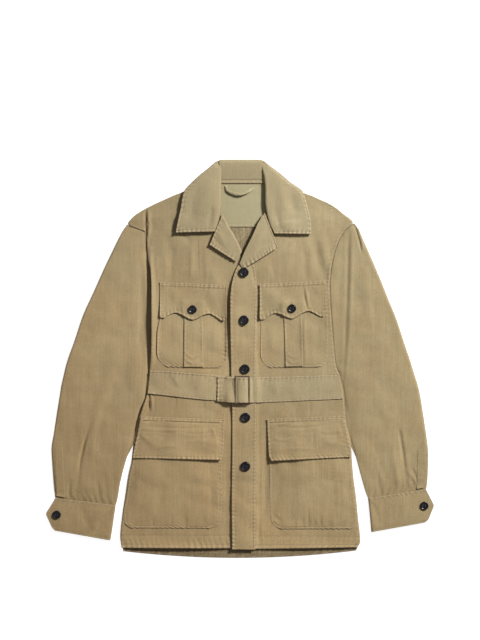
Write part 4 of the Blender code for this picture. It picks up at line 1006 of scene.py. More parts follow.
def wear_and_painted_light_group() -> bpy.types.NodeTree:
    """Makes the colour: streaks, blotches, worn edges and crests, and painted light and shade.

    Returns:
        A group that puts out the colour.
    """
    colours = dict.fromkeys(("Base", "Deep", "Pale", "Wear"), "Color")
    values = dict.fromkeys(("Inset", "Crest", "Height", "Up", "Painted_light_and_shade"), "Float")
    group, nodes, source, result = node_group(
        "wear_and_painted_light_colour", {"Vector": "Vector", **colours, **values}, {"Color": "Color"}
    )
    given = source.outputs
    where, deep = given["Vector"], given["Deep"]
    split = nodes.add("ShaderNodeSeparateXYZ", {"Vector": where}).outputs
    warp = nodes.add("ShaderNodeMapping", {"Vector": where, "Scale": (430.0, 16.0, 100.0)})
    streak = nodes.spread(nodes.speckle(warp.outputs[0], 1.0, 3.0), 0.35, 0.65)
    blotch = nodes.spread(nodes.speckle(where, 15.0, 3.0), 0.1, 0.9)
    fine = nodes.speckle(where, 260.0, 3.0)
    shade = nodes.plus(nodes.plus(streak, blotch), nodes.spread(fine, 0.3, 0.7))
    shade = nodes.plus(nodes.times(shade, 0.27), -0.1)
    # Lighter towards the top of the jacket and darker towards the hem: painted light, for how the
    # lamp's light falls off down the jacket.
    top = nodes.spread(split["Y"], -0.42, 0.36)
    amount = nodes.plus(shade, nodes.times(top, 0.3))
    ground = nodes.mix(nodes.spread(amount, 0.0, 0.5), deep, given["Base"])
    lit = nodes.mix(nodes.spread(amount, 0.5, 1.0), ground, given["Pale"])
    # Tint: uneven hue, and painted light: warmer and darker towards the lower left, paler and
    # greener towards the upper right, nearer the lamp.
    sway = nodes.plus(nodes.times(nodes.speckle(where, 9.0, 2.0), 1.8), 0.1)
    across = nodes.plus(nodes.times(split["X"], 1.7), split["Y"])
    tone = nodes.spread(nodes.plus(across, sway), 0.4, 1.6)
    tint = nodes.mix(tone, (0.97, 0.928, 0.888, 1), (1.02, 1.07, 1.09, 1))
    toned = nodes.add("ShaderNodeVectorMath", {0: lit, 1: tint}, operation="MULTIPLY").outputs[0]
    # Patches of painted light and shade brighten or darken the colour.
    bright = nodes.plus(1.0, given["Painted_light_and_shade"])
    toned = nodes.add("ShaderNodeVectorMath", {0: toned, 3: bright}, operation="SCALE").outputs[0]
    # Darker between the weave's ribs: painted shade in the grooves of the twill.
    between_ribs = nodes.less(nodes.spread(given["Height"], 0.7, 1.4))
    painted_rib_shade = nodes.mix(nodes.times(between_ribs, 0.22), toned, deep)
    # Darker in the hollows of the puckers: painted shade.
    sunk = nodes.spread(given["Crest"], 0.0, -0.9)
    painted_hollow_shade = nodes.mix(nodes.times(sunk, 0.5), painted_rib_shade, deep)
    edge = nodes.less(nodes.spread(given["Inset"], 0.2, 3.0))
    rubbed = nodes.times(edge, nodes.spread(fine, 0.25, 0.6))
    raised = nodes.spread(given["Crest"], 0.05, 0.8)
    rub = nodes.plus(nodes.times(rubbed, 0.25), nodes.times(raised, 0.45))
    worn = nodes.mix(rub, painted_hollow_shade, given["Wear"])
    # Darker on steep sides, whichever way they face: painted shade on rims, folds and gaps.
    steep = nodes.less(nodes.spread(nodes.math("ABSOLUTE", given["Up"]), 0.3, 0.85))
    painted_steep_shade = nodes.mix(nodes.times(steep, 0.8), worn, (0.1, 0.068, 0.036, 1))
    nodes.fill(result, {"Color": painted_steep_shade})
    return group


def start_material(
    name: str, colour: Colour
) -> tuple[bpy.types.Material, Nodes, bpy.types.Node]:
    """Starts a material.

    Args:
        name: Its name.
        colour: Its plain colour.

    Returns:
        The material, the writer of its nodes and its shader.
    """
    made = bpy.data.materials.new(name)
    made.use_nodes = True
    made.diffuse_color = colour
    return made, Nodes(made.node_tree), made.node_tree.nodes["Principled BSDF"]


@dataclass(frozen=True)
class ClothFinish:
    """A woven cotton finish with its wear and its painted light and shade."""

    name: str
    base: Colour
    deep: Colour
    pale: Colour
    wear: Colour
    strength: float = 0.5
    roughness: float = 0.92

    def material(self, groups: Mapping[str, bpy.types.NodeTree]) -> bpy.types.Material:
        """Makes the material.

        Args:
            groups: The shared node groups by name.

        Returns:
            The material.
        """
        made, nodes, shader = start_material(self.name, self.base)
        where = nodes.add("ShaderNodeTexCoord").outputs["Object"]
        normal = nodes.add("ShaderNodeNewGeometry").outputs["Normal"]
        twill = {"Vector": where, "Strength": self.strength}
        weave = nodes.add("ShaderNodeGroup", twill, node_tree=groups["weave"])
        # The colour group adds the streaks, the wear, and the painted light and shade.
        fade = nodes.add("ShaderNodeGroup", {
            "Vector": where,
            "Base": self.base,
            "Deep": self.deep,
            "Pale": self.pale,
            "Wear": self.wear,
            "Height": weave.outputs["Height"],
            "Up": nodes.add("ShaderNodeSeparateXYZ", {"Vector": normal}).outputs["Z"],
        }, node_tree=groups["fade"])
        # The last attribute carries the patches of painted light and shade.
        for title in ("Inset", "Crest", "Painted_light_and_shade"):
            kept = nodes.add("ShaderNodeAttribute", attribute_name=title.lower())
            nodes.fill(fade, {title: kept.outputs["Fac"]})
        nodes.fill(shader, {
            "Base Color": fade.outputs["Color"],
            "Normal": weave.outputs["Normal"],
            "Roughness": self.roughness,
            "Specular IOR Level": 0.15,
            "Sheen Weight": 0.06,
            "Sheen Roughness": 0.6,
        })
        return made


@dataclass(frozen=True)
class HardFinish:
    """A plastic or metal finish with uneven gloss."""

    name: str
    base: Colour
    other: Colour
    metallic: float
    rough_low: float
    rough_high: float
    grain: float

    def material(self) -> bpy.types.Material:
        """Makes the material.

        Returns:
            The material.
        """
        made, nodes, shader = start_material(self.name, self.base)
        where = nodes.add("ShaderNodeTexCoord").outputs["Object"]
        spots = nodes.speckle(where, self.grain, 4.0)
        share = nodes.spread(spots, 0.35, 0.68)
        gloss = nodes.add(
            "ShaderNodeMapRange", {0: spots, 1: 0.3, 2: 0.7, 3: self.rough_low, 4: self.rough_high}
        )
        bump = nodes.add("ShaderNodeBump", {"Strength": 0.15, "Distance": 0.0002, "Height": spots})
        nodes.fill(shader, {
            "Base Color": nodes.mix(share, self.base, self.other),
            "Roughness": gloss.outputs[0],
            "Normal": bump.outputs["Normal"],
            "Metallic": self.metallic,
        })
        return made


KHAKI = ClothFinish(
    "khaki_twill", base=(0.405, 0.310, 0.172, 1), deep=(0.340, 0.234, 0.114, 1),
    pale=(0.448, 0.374, 0.228, 1), wear=(0.53, 0.42, 0.29, 1),
)
FACING = ClothFinish(
    "khaki_facing", base=(0.415, 0.332, 0.195, 1), deep=(0.35, 0.262, 0.142, 1),
    pale=(0.46, 0.382, 0.232, 1), wear=(0.53, 0.43, 0.30, 1),
)
LINING = ClothFinish(
    "khaki_lining", base=(0.43, 0.372, 0.222, 1), deep=(0.36, 0.29, 0.17, 1),
    pale=(0.46, 0.40, 0.245, 1), wear=(0.53, 0.44, 0.30, 1), strength=0.3,
)
# Painted shade: the back's inside is a darker copy of the cloth, for the shade inside the jacket.
# Its deep and pale colours lie far apart, so the gradient up the jacket paints deep shade on the
# back's hem strip under the front and painted light at the neck.
SHADED_INSIDE = ClothFinish(
    "khaki_inside_painted_shade", base=(0.275, 0.213, 0.121, 1), deep=(0.15, 0.111, 0.062, 1),
    pale=(0.68, 0.55, 0.335, 1), wear=(0.42, 0.33, 0.22, 1),
)
THREAD = HardFinish(
    "seam_thread", (0.53, 0.43, 0.28, 1), (0.43, 0.335, 0.205, 1),
    metallic=0.0, rough_low=0.7, rough_high=0.9, grain=900.0,
)
DARK_THREAD = HardFinish(
    "button_thread", (0.17, 0.16, 0.16, 1), (0.1, 0.095, 0.09, 1),
    metallic=0.0, rough_low=0.6, rough_high=0.8, grain=900.0,
)
BUTTON = HardFinish(
    "dark_button", (0.007, 0.007, 0.010, 1), (0.017, 0.017, 0.021, 1),
    metallic=0.0, rough_low=0.16, rough_high=0.34, grain=160.0,
)
METAL = HardFinish(
    "aged_metal", (0.33, 0.21, 0.175, 1), (0.13, 0.08, 0.065, 1),
    metallic=1.0, rough_low=0.3, rough_high=0.55, grain=220.0,
)


def smooth(mesh: bpy.types.Mesh, material: bpy.types.Material) -> None:
    """Shades a mesh smoothly and gives it its one material.

    Args:
        mesh: The mesh.
        material: Its material.
    """
    mesh.polygons.foreach_set("use_smooth", np.ones(len(mesh.polygons), dtype=bool))
    mesh.materials.clear()
    mesh.materials.append(material)


def add_piece(name: str, mesh: bpy.types.Mesh, slot: str, *nodes: str) -> bpy.types.Object:
    """Adds a piece that rides with the jacket.

    Args:
        name: Name of the piece.
        mesh: Its mesh.
        slot: Not used.
        nodes: The solids that it stands for.

    Returns:
        The object.
    """
    made = bpy.data.objects.new(name, mesh)
    bpy.context.scene.collection.objects.link(made)
    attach(made, "root")
    if nodes:
        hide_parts(*nodes)
    return made


def new_mesh(
    name: str, points: np.ndarray, faces: Sequence[Sequence[int]], material: bpy.types.Material
) -> bpy.types.Mesh:
    """Makes a smooth mesh.

    Args:
        name: Its name.
        points: Vertices, in millimetres.
        faces: Vertex numbers of each face.
        material: Its material.

    Returns:
        The mesh.
    """
    mesh = bpy.data.meshes.new(name)
    mesh.from_pydata((np.asarray(points) * MM).tolist(), [], faces)
    smooth(mesh, material)
    return mesh


def take_mesh(shape: bmesh.types.BMesh, name: str) -> bpy.types.Mesh:
    """Turns a shape into a mesh and frees it.

    Args:
        shape: The shape.
        name: Name of the mesh.

    Returns:
        The mesh.
    """
    mesh = bpy.data.meshes.new(name)
    shape.to_mesh(mesh)
    shape.free()
    return mesh


class Threads:
    """Small stitches gathered into one mesh."""

    PITCH = 3.4
    LENGTH = 2.3
    WIDTH = 0.42
    START = 0.6
    SHOULDER = 0.25
    CORNERS = 10

    def __init__(self) -> None:
        """Starts with no stitches."""
        self.starts: list[np.ndarray] = []
        self.ends: list[np.ndarray] = []

    def line(self, path: np.ndarray) -> None:
        """Sews along a path.

        Args:
            path: Points on the cloth, in millimetres.
        """
        if len(path) < 2:
            return
        place = run_along(path)
        starts = np.arange(self.START, place[-1] - self.LENGTH, self.PITCH)
        for store, shift in ((self.starts, 0.0), (self.ends, self.LENGTH)):
            spots = [np.interp(starts + shift, place, path[:, k]) for k in range(3)]
            store.append(np.stack(spots, axis=1))

    def bar(self, first: Sequence[float], last: Sequence[float]) -> None:
        """Adds one long stitch."""
        self.starts.append(np.array([first], dtype=float))
        self.ends.append(np.array([last], dtype=float))

    def build(
        self, name: str, material: bpy.types.Material, width: float = WIDTH
    ) -> bpy.types.Object | None:
        """Makes the mesh.

        Args:
            name: Name of the piece.
            material: Material of the thread.
            width: Half the thickness of a stitch.

        Returns:
            The object, or None where there are no stitches.
        """
        if not self.starts:
            return None
        first = np.concatenate(self.starts)
        last = np.concatenate(self.ends)
        heading = last - first
        heading /= np.maximum(np.linalg.norm(heading, axis=1, keepdims=True), TINY)
        side = np.cross(heading, np.array([0.0, 0.0, 1.0]))
        side /= np.maximum(np.linalg.norm(side, axis=1, keepdims=True), TINY)
        upper = np.cross(side, heading)
        ring = [side * width, upper * width, -side * width, -upper * width]
        start = first + self.SHOULDER * (last - first)
        stop = first + (1 - self.SHOULDER) * (last - first)
        rings = [start + one for one in ring] + [stop + one for one in ring]
        points = np.stack([first] + rings + [last], axis=1)
        faces: list[tuple[int, ...]] = []
        for number in range(len(first)):
            base = self.CORNERS * number
            for k in range(4):
                after = (k + 1) % 4
                faces.append((base, base + 1 + after, base + 1 + k))
                faces.append((base + 1 + k, base + 1 + after, base + 5 + after, base + 5 + k))
                faces.append((base + 5 + k, base + 5 + after, base + 9))
        return add_piece(name, new_mesh(name, points.reshape(-1, 3), faces, material), "cloth")


TOPSTITCH = Seam()
DOUBLE = Seam(rows=(2.9, 8.6), pucker=0.85, pitch=9.0, fade=9.5, bead=1.1, groove=0.55)
QUIET_SEAM = Seam(rows=(3.4,), pucker=0.35, pitch=8.0, fade=7.0, bead=0.0, groove=0.3)
EDGE_SEAM = Seam(rows=(2.4,), pucker=1.0, pitch=8.0, fade=8.0, bead=0.5)
BELT_SEAM = Seam(rows=(4.0,), pucker=1.0, pitch=9.0, fade=9.0, bead=0.5)
LAPEL_SEAM = Seam(rows=(3.2,), pucker=1.0, pitch=9.5, fade=9.0, bead=0.6, groove=0.5)
NECK_SEAM = Seam(rows=(7.0,), pucker=0.15, bead=0.8, groove=0.7)
BAND_SEAM = Seam(rows=(5.2,), pucker=0.85, pitch=8.0, fade=7.5, bead=0.4)
HEM = Seam(rows=(6.0, 24.0), pucker=0.7, pitch=11.0, fade=24.0, bead=0.4, groove=0.6)
FAINT_SEAM = Seam(rows=(2.6,), pucker=0.3, pitch=9.0, fade=5.0, bead=0.1, groove=0.3)
POCKET_FOOT = Seam(rows=(2.6, 8.6), pucker=1.25, pitch=10.5, fade=13.0, bead=1.1, groove=0.6)
LOOP_EDGE = Seam(rows=(), pucker=0.05, bead=0.2)
CUFF_SEAM = Seam(rows=(2.6,), pucker=0.75, pitch=9.5, fade=6.0, bead=0.7)
CUFF_GATHER = Seam(rows=(), pucker=1.2, pitch=13.0, fade=19.0, bead=0.0)
PLEAT_FOLD = Seam(rows=(), pucker=0.2, bead=0.5)
BACK_HEM = Seam(rows=(9.0,), pucker=0.25, pitch=8.0, fade=12.0)
PLAIN_SEAM = Seam(rows=(), pucker=0.6, pitch=9.0, fade=9.0, bead=0.3)


@dataclass
class ClothPiece:
    """One panel of cloth: its cut, how it lies, its creases, seams and stitches.

    puff lifts its middle and flare an edge, unrest is the height of its uneven lie, pinned holds
    that down along the seams and calm near the last edge. reach and passes say how widely and
    softly it bridges a step below, and gap how far above it the cloth lies.
    """

    name: str
    loft: Loft
    wall: float = CLOTH_WALL
    seams: Mapping[Edge, Seam] = field(default_factory=dict)
    finish: str = "cloth"
    slot: str = "cloth"
    puff: float = 0.0
    flare: Mapping[Edge, float] = field(default_factory=dict)
    calm: float = 0.0
    unrest: float = 0.5
    pinned: bool = False
    reach: float = 4.0
    gap: float = GAP
    passes: int = 10
    rests_on: Sequence[str] = ()
    paths: Sequence[Sequence[tuple[float, float]]] = ()
    seed: int = 1

    PUFF_REACH = 16
    PIN_REACH = 9
    FLARE_REACH = 13
    WEAR_REACH = 6
    FAR_INSET = 40.0
    RIM_REACH = 0.7
    RIM_LEAST = 0.25
    PATH_STEP = 3
    THREAD_LIFT = 0.1
    CRUMPLE = 0.75
    CRUMPLE_MEAN = 0.6
    FLARE_SWAY = 0.45
    SEED_STEP = 7

    def lay(self, under: HeightField) -> Grid:
        """Lays the panel on what is under it, with its creases and seams.

        Args:
            under: Heights of what it lies on.

        Returns:
            The points of the middle of the cloth.
        """
        grid = self.loft.grid()
        x, y, z = (grid.points[..., k] for k in range(3))
        low, soft = under.rest(x, y, self.reach, self.passes)
        middle = self.gap + self.wall / 2
        edge = np.minimum.reduce(list(grid.inset.values()))
        rise = self.puff * (1 - bell(edge, self.PUFF_REACH))
        level = np.maximum(z, soft + middle) + rise + self.relief(grid)
        grid.points[..., 2] = np.maximum(level, low + middle)
        return grid

    def relief(self, grid: Grid) -> np.ndarray:
        """Adds up creases, unevenness and seams.

        Args:
            grid: The points.

        Returns:
            Heights to add, in millimetres.
        """
        x, y = grid.points[..., 0], grid.points[..., 1]
        broad = 0.7 * noise(x, y, size=62, seed=11) + 0.45 * noise(x, y, size=27, seed=12)
        fine = 0.16 * noise(x, y / 7.0, size=13, seed=13) + 0.14 * noise(x, y, size=12, seed=14)
        total = self.unrest * broad + self.unrest * fine
        steep = np.abs(noise(x + 0.4 * y, y, size=46, seed=15))
        crumple = steep + 0.6 * np.abs(noise(x - 0.3 * y, y, size=29, seed=17))
        total = total + self.unrest * self.CRUMPLE * (crumple - self.CRUMPLE_MEAN)
        if self.pinned:
            sewn = np.minimum.reduce([grid.inset[edge] for edge in self.seams])
            total = total * (1 - bell(sewn, self.PIN_REACH))
        for crease in CREASES.get(self.name, ()):
            total = total + crease.relief(x, y)
        for number, (edge, seam) in enumerate(self.seams.items()):
            seed = self.seed * self.SEED_STEP + number
            total = total + seam.relief(grid.inset[edge], grid.along[edge], seed)
        for edge, height in self.flare.items():
            along = grid.along[edge]
            sway = noise(along, along * 0 + self.seed, size=45, seed=self.seed)
            sway = 1 + self.FLARE_SWAY * sway
            total = total + height * sway * bell(grid.inset[edge], self.FLARE_REACH)
        if self.calm:
            total = total * (1 - bell(grid.inset[Edge.LAST], self.calm))
        return total

    def crest(self, grid: Grid) -> np.ndarray:
        """Finds the puckers' crests, for their wear, and hollows, for their painted shade.

        Args:
            grid: The points.

        Returns:
            Values from -1 to 1.
        """
        total = np.zeros(grid.points.shape[:2])
        for number, (edge, seam) in enumerate(self.seams.items()):
            inset = grid.inset[edge]
            wave = seam.wave(inset, grid.along[edge], self.seed * self.SEED_STEP + number)
            total = total + wave * bell(inset, self.WEAR_REACH)
        return np.clip(total, -1, 1)

    def shell(self, grid: Grid) -> tuple[np.ndarray, np.ndarray, np.ndarray, np.ndarray]:
        """Closes the panel round its middle, with round rims.

        Args:
            grid: The points of the middle.

        Returns:
            The vertices, the faces, the distance of each vertex from a sewn edge, and the top.
        """
        rows, columns = grid.points.shape[:2]
        edge = np.minimum.reduce(list(grid.inset.values()))
        rim = quarter_round(edge, self.wall * self.RIM_REACH)
        half = self.wall / 2 * np.maximum(rim, self.RIM_LEAST)
        lift = grid.lift() * half[..., None]
        top = grid.points + lift
        vertices = np.concatenate([top, grid.points - lift]).reshape(-1, 3)
        index = np.arange(rows * columns).reshape(rows, columns)
        corners = [index[:-1, :-1], index[:-1, 1:], index[1:, 1:], index[1:, :-1]]
        quads = np.stack(corners, axis=-1).reshape(-1, 4)
        rim = np.concatenate([index[0], index[1:, -1], index[-1, -2::-1], index[-2:0:-1, 0]])
        after = np.roll(rim, -1)
        count = rows * columns
        sides = np.stack([after, rim, rim + count, after + count], axis=1)
        faces = np.concatenate([quads, quads[:, ::-1] + count, sides])
        if grid.turn() < 0:
            faces = faces[:, ::-1]
        sewn = [grid.inset[one] for one in self.seams] or [np.full(edge.shape, self.FAR_INSET)]
        inset = np.minimum(np.minimum.reduce(sewn), self.FAR_INSET).reshape(-1)
        return vertices, faces, np.concatenate([inset, inset]), top

    def sew(self, grid: Grid, top: np.ndarray, under: HeightField, threads: Threads) -> None:
        """Sews the rows of stitches along the edges and the given paths.

        Args:
            grid: The points of the middle.
            top: The points of the upper side.
            under: The field with this panel on it.
            threads: Where the stitches go.
        """
        for edge, seam in self.seams.items():
            others = [grid.inset[one] for one in self.seams if one is not edge]
            for row in seam.rows:
                threads.line(contour(top, grid.inset[edge], others, edge, row))
        for path in self.paths:
            line = np.array(path, dtype=float)
            place = run_along(line)
            fine = np.linspace(0, place[-1], max(2, round(place[-1] / self.PATH_STEP)))
            x, y = (np.interp(fine, place, line[:, k]) for k in range(2))
            threads.line(np.stack([x, y, under.top(x, y) + self.THREAD_LIFT], axis=1))


STOP_INSET = 6.0
STOP_SLACK = 0.2


def contour(
    top: np.ndarray, inset: np.ndarray, others: Sequence[np.ndarray], edge: Edge, row: float
) -> np.ndarray:
    """Finds the line at one distance from an edge.

    Args:
        top: Points of the upper side.
        inset: Their distance from the edge.
        others: Their distances from the other sewn edges, where the line stops.
        edge: The edge.
        row: The distance, in millimetres.

    Returns:
        Points of the line.
    """
    turn = slice(None, None, -1 if edge in (Edge.B, Edge.LAST) else 1)
    if edge in (Edge.FIRST, Edge.LAST):
        top, inset = top.transpose(1, 0, 2), inset.T
        others = [one.T for one in others]
    line = []
    for number in range(len(top)):
        far = inset[number][turn]
        points = top[number][turn]
        if far.max() < row:
            continue
        stop = [np.interp(row, far, one[number][turn]) for one in others]
        if all(value >= min(row, STOP_INSET) - STOP_SLACK for value in stop):
            line.append([np.interp(row, far, points[:, k]) for k in range(3)])
    return np.array(line)


class Workshop:
    """Makes the pieces and keeps the materials."""

    LEAST_WIDTH = 0.0101
    LEAST_SHARE = 0.301

    def __init__(self) -> None:
        """Makes the shared node groups and the materials."""
        groups = {"weave": weave_group(), "fade": wear_and_painted_light_group()}
        woven = {"cloth": KHAKI, "facing": FACING, "lining": LINING, "shaded_inside": SHADED_INSIDE}
        hard = {"thread": THREAD, "dark_thread": DARK_THREAD, "button": BUTTON, "metal": METAL}
        self.materials = {name: finish.material(groups) for name, finish in woven.items()}
        self.materials |= {name: finish.material() for name, finish in hard.items()}

    def make(
        self, under: HeightField, *pieces: ClothPiece, name: str = "",
        onto: HeightField | None = None,
    ) -> None:
        """Lays panels, sews them and adds them to the field.

        Args:
            under: Heights of what they lie on.
            pieces: The panels, joined into one piece of cloth where there are more.
            name: Name of the joined piece.
            onto: Field that they are added to, where it isn't the one under them.
        """
        onto = under if onto is None else onto
        vertices, faces, insets, crests, painted_light_values, threads = [], [], [], [], [], Threads()
        area, width, length, start = 0.0, 0.0, 0.0, 0
        for piece in pieces:
            grid = piece.lay(under)
            points, quads, inset, top = piece.shell(grid)
            onto.add(top)
            piece.sew(grid, top, onto, threads)
            vertices.append(points)
            faces.append(quads + start)
            insets.append(inset)
            crests.append(np.tile(piece.crest(grid).reshape(-1), 2))
            # Patches of painted light and shade, kept as an attribute for the colour.
            painted_light_values.append(painted_light_and_shade(points[:, 0], points[:, 1]))
            start += len(points)
            area += grid.area()
            width += grid.size[0]
            length = max(length, grid.size[1])
        first = pieces[0]
        name = name or first.name
        mesh = new_mesh(
            f"{name}_cloth", np.concatenate(vertices), np.concatenate(faces).tolist(),
            self.materials[first.finish],
        )
        for title, values in (("inset", insets), ("crest", crests), ("painted_light_and_shade", painted_light_values)):
            kept = mesh.attributes.new(title, "FLOAT", "POINT")
            kept.data.foreach_set("value", np.concatenate(values))
        made = add_piece(f"{name}_cloth", mesh, first.slot, *(piece.name for piece in pieces))
        sewn = threads.build(f"{name}_stitches", self.materials["thread"])
        area = area * MM * MM
        cut = max(width * MM, self.LEAST_WIDTH)
        flat = (cut, max(length * MM, area / cut))
        area = max(area, self.LEAST_SHARE * flat[0] * flat[1])
        sewn = [sewn] if sewn else []
        LOG.info("%s: %d faces, cut %.3f by %.3f m", name, len(mesh.polygons), *flat)


@dataclass
class Assembly:
    """Pieces that are made together and lie on one field."""

    shop: Workshop
    stack: HeightField

    def lay(self, piece: ClothPiece) -> None:
        """Lays one panel on the field."""
        self.shop.make(self.stack, piece)


@dataclass
class Body(Assembly):
    """Back, yoke, fronts and front band."""

    hem_bow: float = -14.3
    roll: float = 5.0
    left_roll: float = 9.0

    def make(self) -> None:
        """Lays the body."""
        self.lay(ClothPiece("belt_back", Loft(BELT_BACK, 5.0), FLAP_WALL, unrest=0.0))
        # The back's inside takes the darker copy of the cloth, which paints the shade inside the
        # jacket.
        self.lay(ClothPiece(
            "back", Loft(BACK, 6.0, bow=self.hem_bow), seams={Edge.FIRST: BACK_HEM},
            finish="shaded_inside", unrest=0.3, rests_on=("belt_back",),
            paths=(((-19.5, -384), (-19.5, -404)), ((23.6, -384), (23.6, -404))),
        ))
        self.lay(ClothPiece(
            "back_yoke", Loft(YOKE, 5.0), LINING_WALL, {Edge.LAST: TOPSTITCH}, "lining", "lining",
            rests_on=("back",),
        ))
        hem = {Edge.FIRST: HEM, Edge.A: PLAIN_SEAM}
        self.lay(ClothPiece(
            "front_right", Loft(FRONT_RIGHT, 3.0, roll_a=self.roll), seams=hem, unrest=1.2,
            rests_on=("back", "back_yoke"), seed=2,
            paths=(
                ((-226, 274), (-212, 265), (-197, 258.5)),
                ((-84.6, 247), (-83.6, 202), (-82.2, 157)),
            ),
        ))
        self.lay(ClothPiece(
            "front_left", Loft(FRONT_LEFT, 3.0, roll_a=self.left_roll), seams=hem, unrest=1.2,
            passes=24, rests_on=("front_right", "back"), seed=3,
            paths=(
                ((228, 276), (209, 258), (196, 233), (187.5, 205), (182, 175), (179, 140)),
            ),
        ))
        self.lay(ClothPiece(
            "front_band", Loft(FRONT_BAND, 2.0), LINING_WALL,
            {Edge.A: BAND_SEAM, Edge.B: BAND_SEAM}, unrest=0.3, puff=0.4,
            rests_on=("front_left",), seed=4,
        ))


@dataclass
class Neck(Assembly):
    """Lapels, collar and hanger loop."""

    roll: float = 5.0
    wide_roll: float = 14.0
    collar_roll: float = 8.0
    loop_line: tuple[tuple[float, float, float], ...] = (
        (-29, 355, 0), (-26, 346, 2.0), (-14, 340, 4.2), (0, 337, 5.0), (14, 341, 4.2),
        (28, 350, 0),
    )
    loop_width: float = 5.6
    loop_level: float = 3.7
    below_all: float = -50.0

    def make(self) -> None:
        """Lays the collar, lapels and loop."""
        bare = self.stack.copy()
        lower = {Edge.FIRST: LAPEL_SEAM, Edge.A: LAPEL_SEAM}
        for side, rows in (("right", LAPEL_RIGHT), ("left", LAPEL_LEFT)):
            self.lay(ClothPiece(
                f"lapel_{side}", Loft(rows, 2.0, roll_b=self.roll), seams=lower, finish="facing",
                unrest=0.5, rests_on=(f"front_{side}",), seed=5,
            ))
        outer = {Edge.A: TOPSTITCH, Edge.LAST: TOPSTITCH}
        for side, rows, roll_b in (
            ("right", COLLAR_RIGHT, self.wide_roll), ("left", COLLAR_LEFT, self.roll)
        ):
            self.shop.make(bare, ClothPiece(
                f"collar_{side}", Loft(rows, 2.0, roll_a=self.collar_roll, roll_b=roll_b),
                seams=outer, finish="facing", unrest=0.7, rests_on=(f"front_{side}",), seed=6,
            ), onto=self.stack)
        self.shop.make(HeightField(self.below_all), ClothPiece(
            "collar_back", Loft(COLLAR_BACK, 2.0), LINING_WALL, {Edge.FIRST: NECK_SEAM}, "facing",
            unrest=0.0, rests_on=("back_yoke",),
        ), onto=self.stack)
        self._loop(bare)

    def _loop(self, bare: HeightField) -> None:
        """Lays the hanger loop along its line.

        Args:
            bare: Field of the body before the collar.
        """
        line = np.array(self.loop_line, dtype=float)
        heading = np.gradient(line[:, :2], axis=0)
        heading /= np.linalg.norm(heading, axis=1, keepdims=True)
        side = np.stack([-heading[:, 1], heading[:, 0]], axis=1) * self.loop_width / 2
        rows = table(*(
            (x - sx, y - sy, x + sx, y + sy, 0, self.loop_level + rise, 0)
            for (x, y, rise), (sx, sy) in zip(line, side)
        ))
        edges = {Edge.A: LOOP_EDGE, Edge.B: LOOP_EDGE}
        self.shop.make(bare, ClothPiece(
            "hanger_loop", Loft(rows, 1.6), LINING_WALL, edges, "lining", "lining", unrest=0.0,
            rests_on=("back_yoke",),
        ), onto=self.stack)


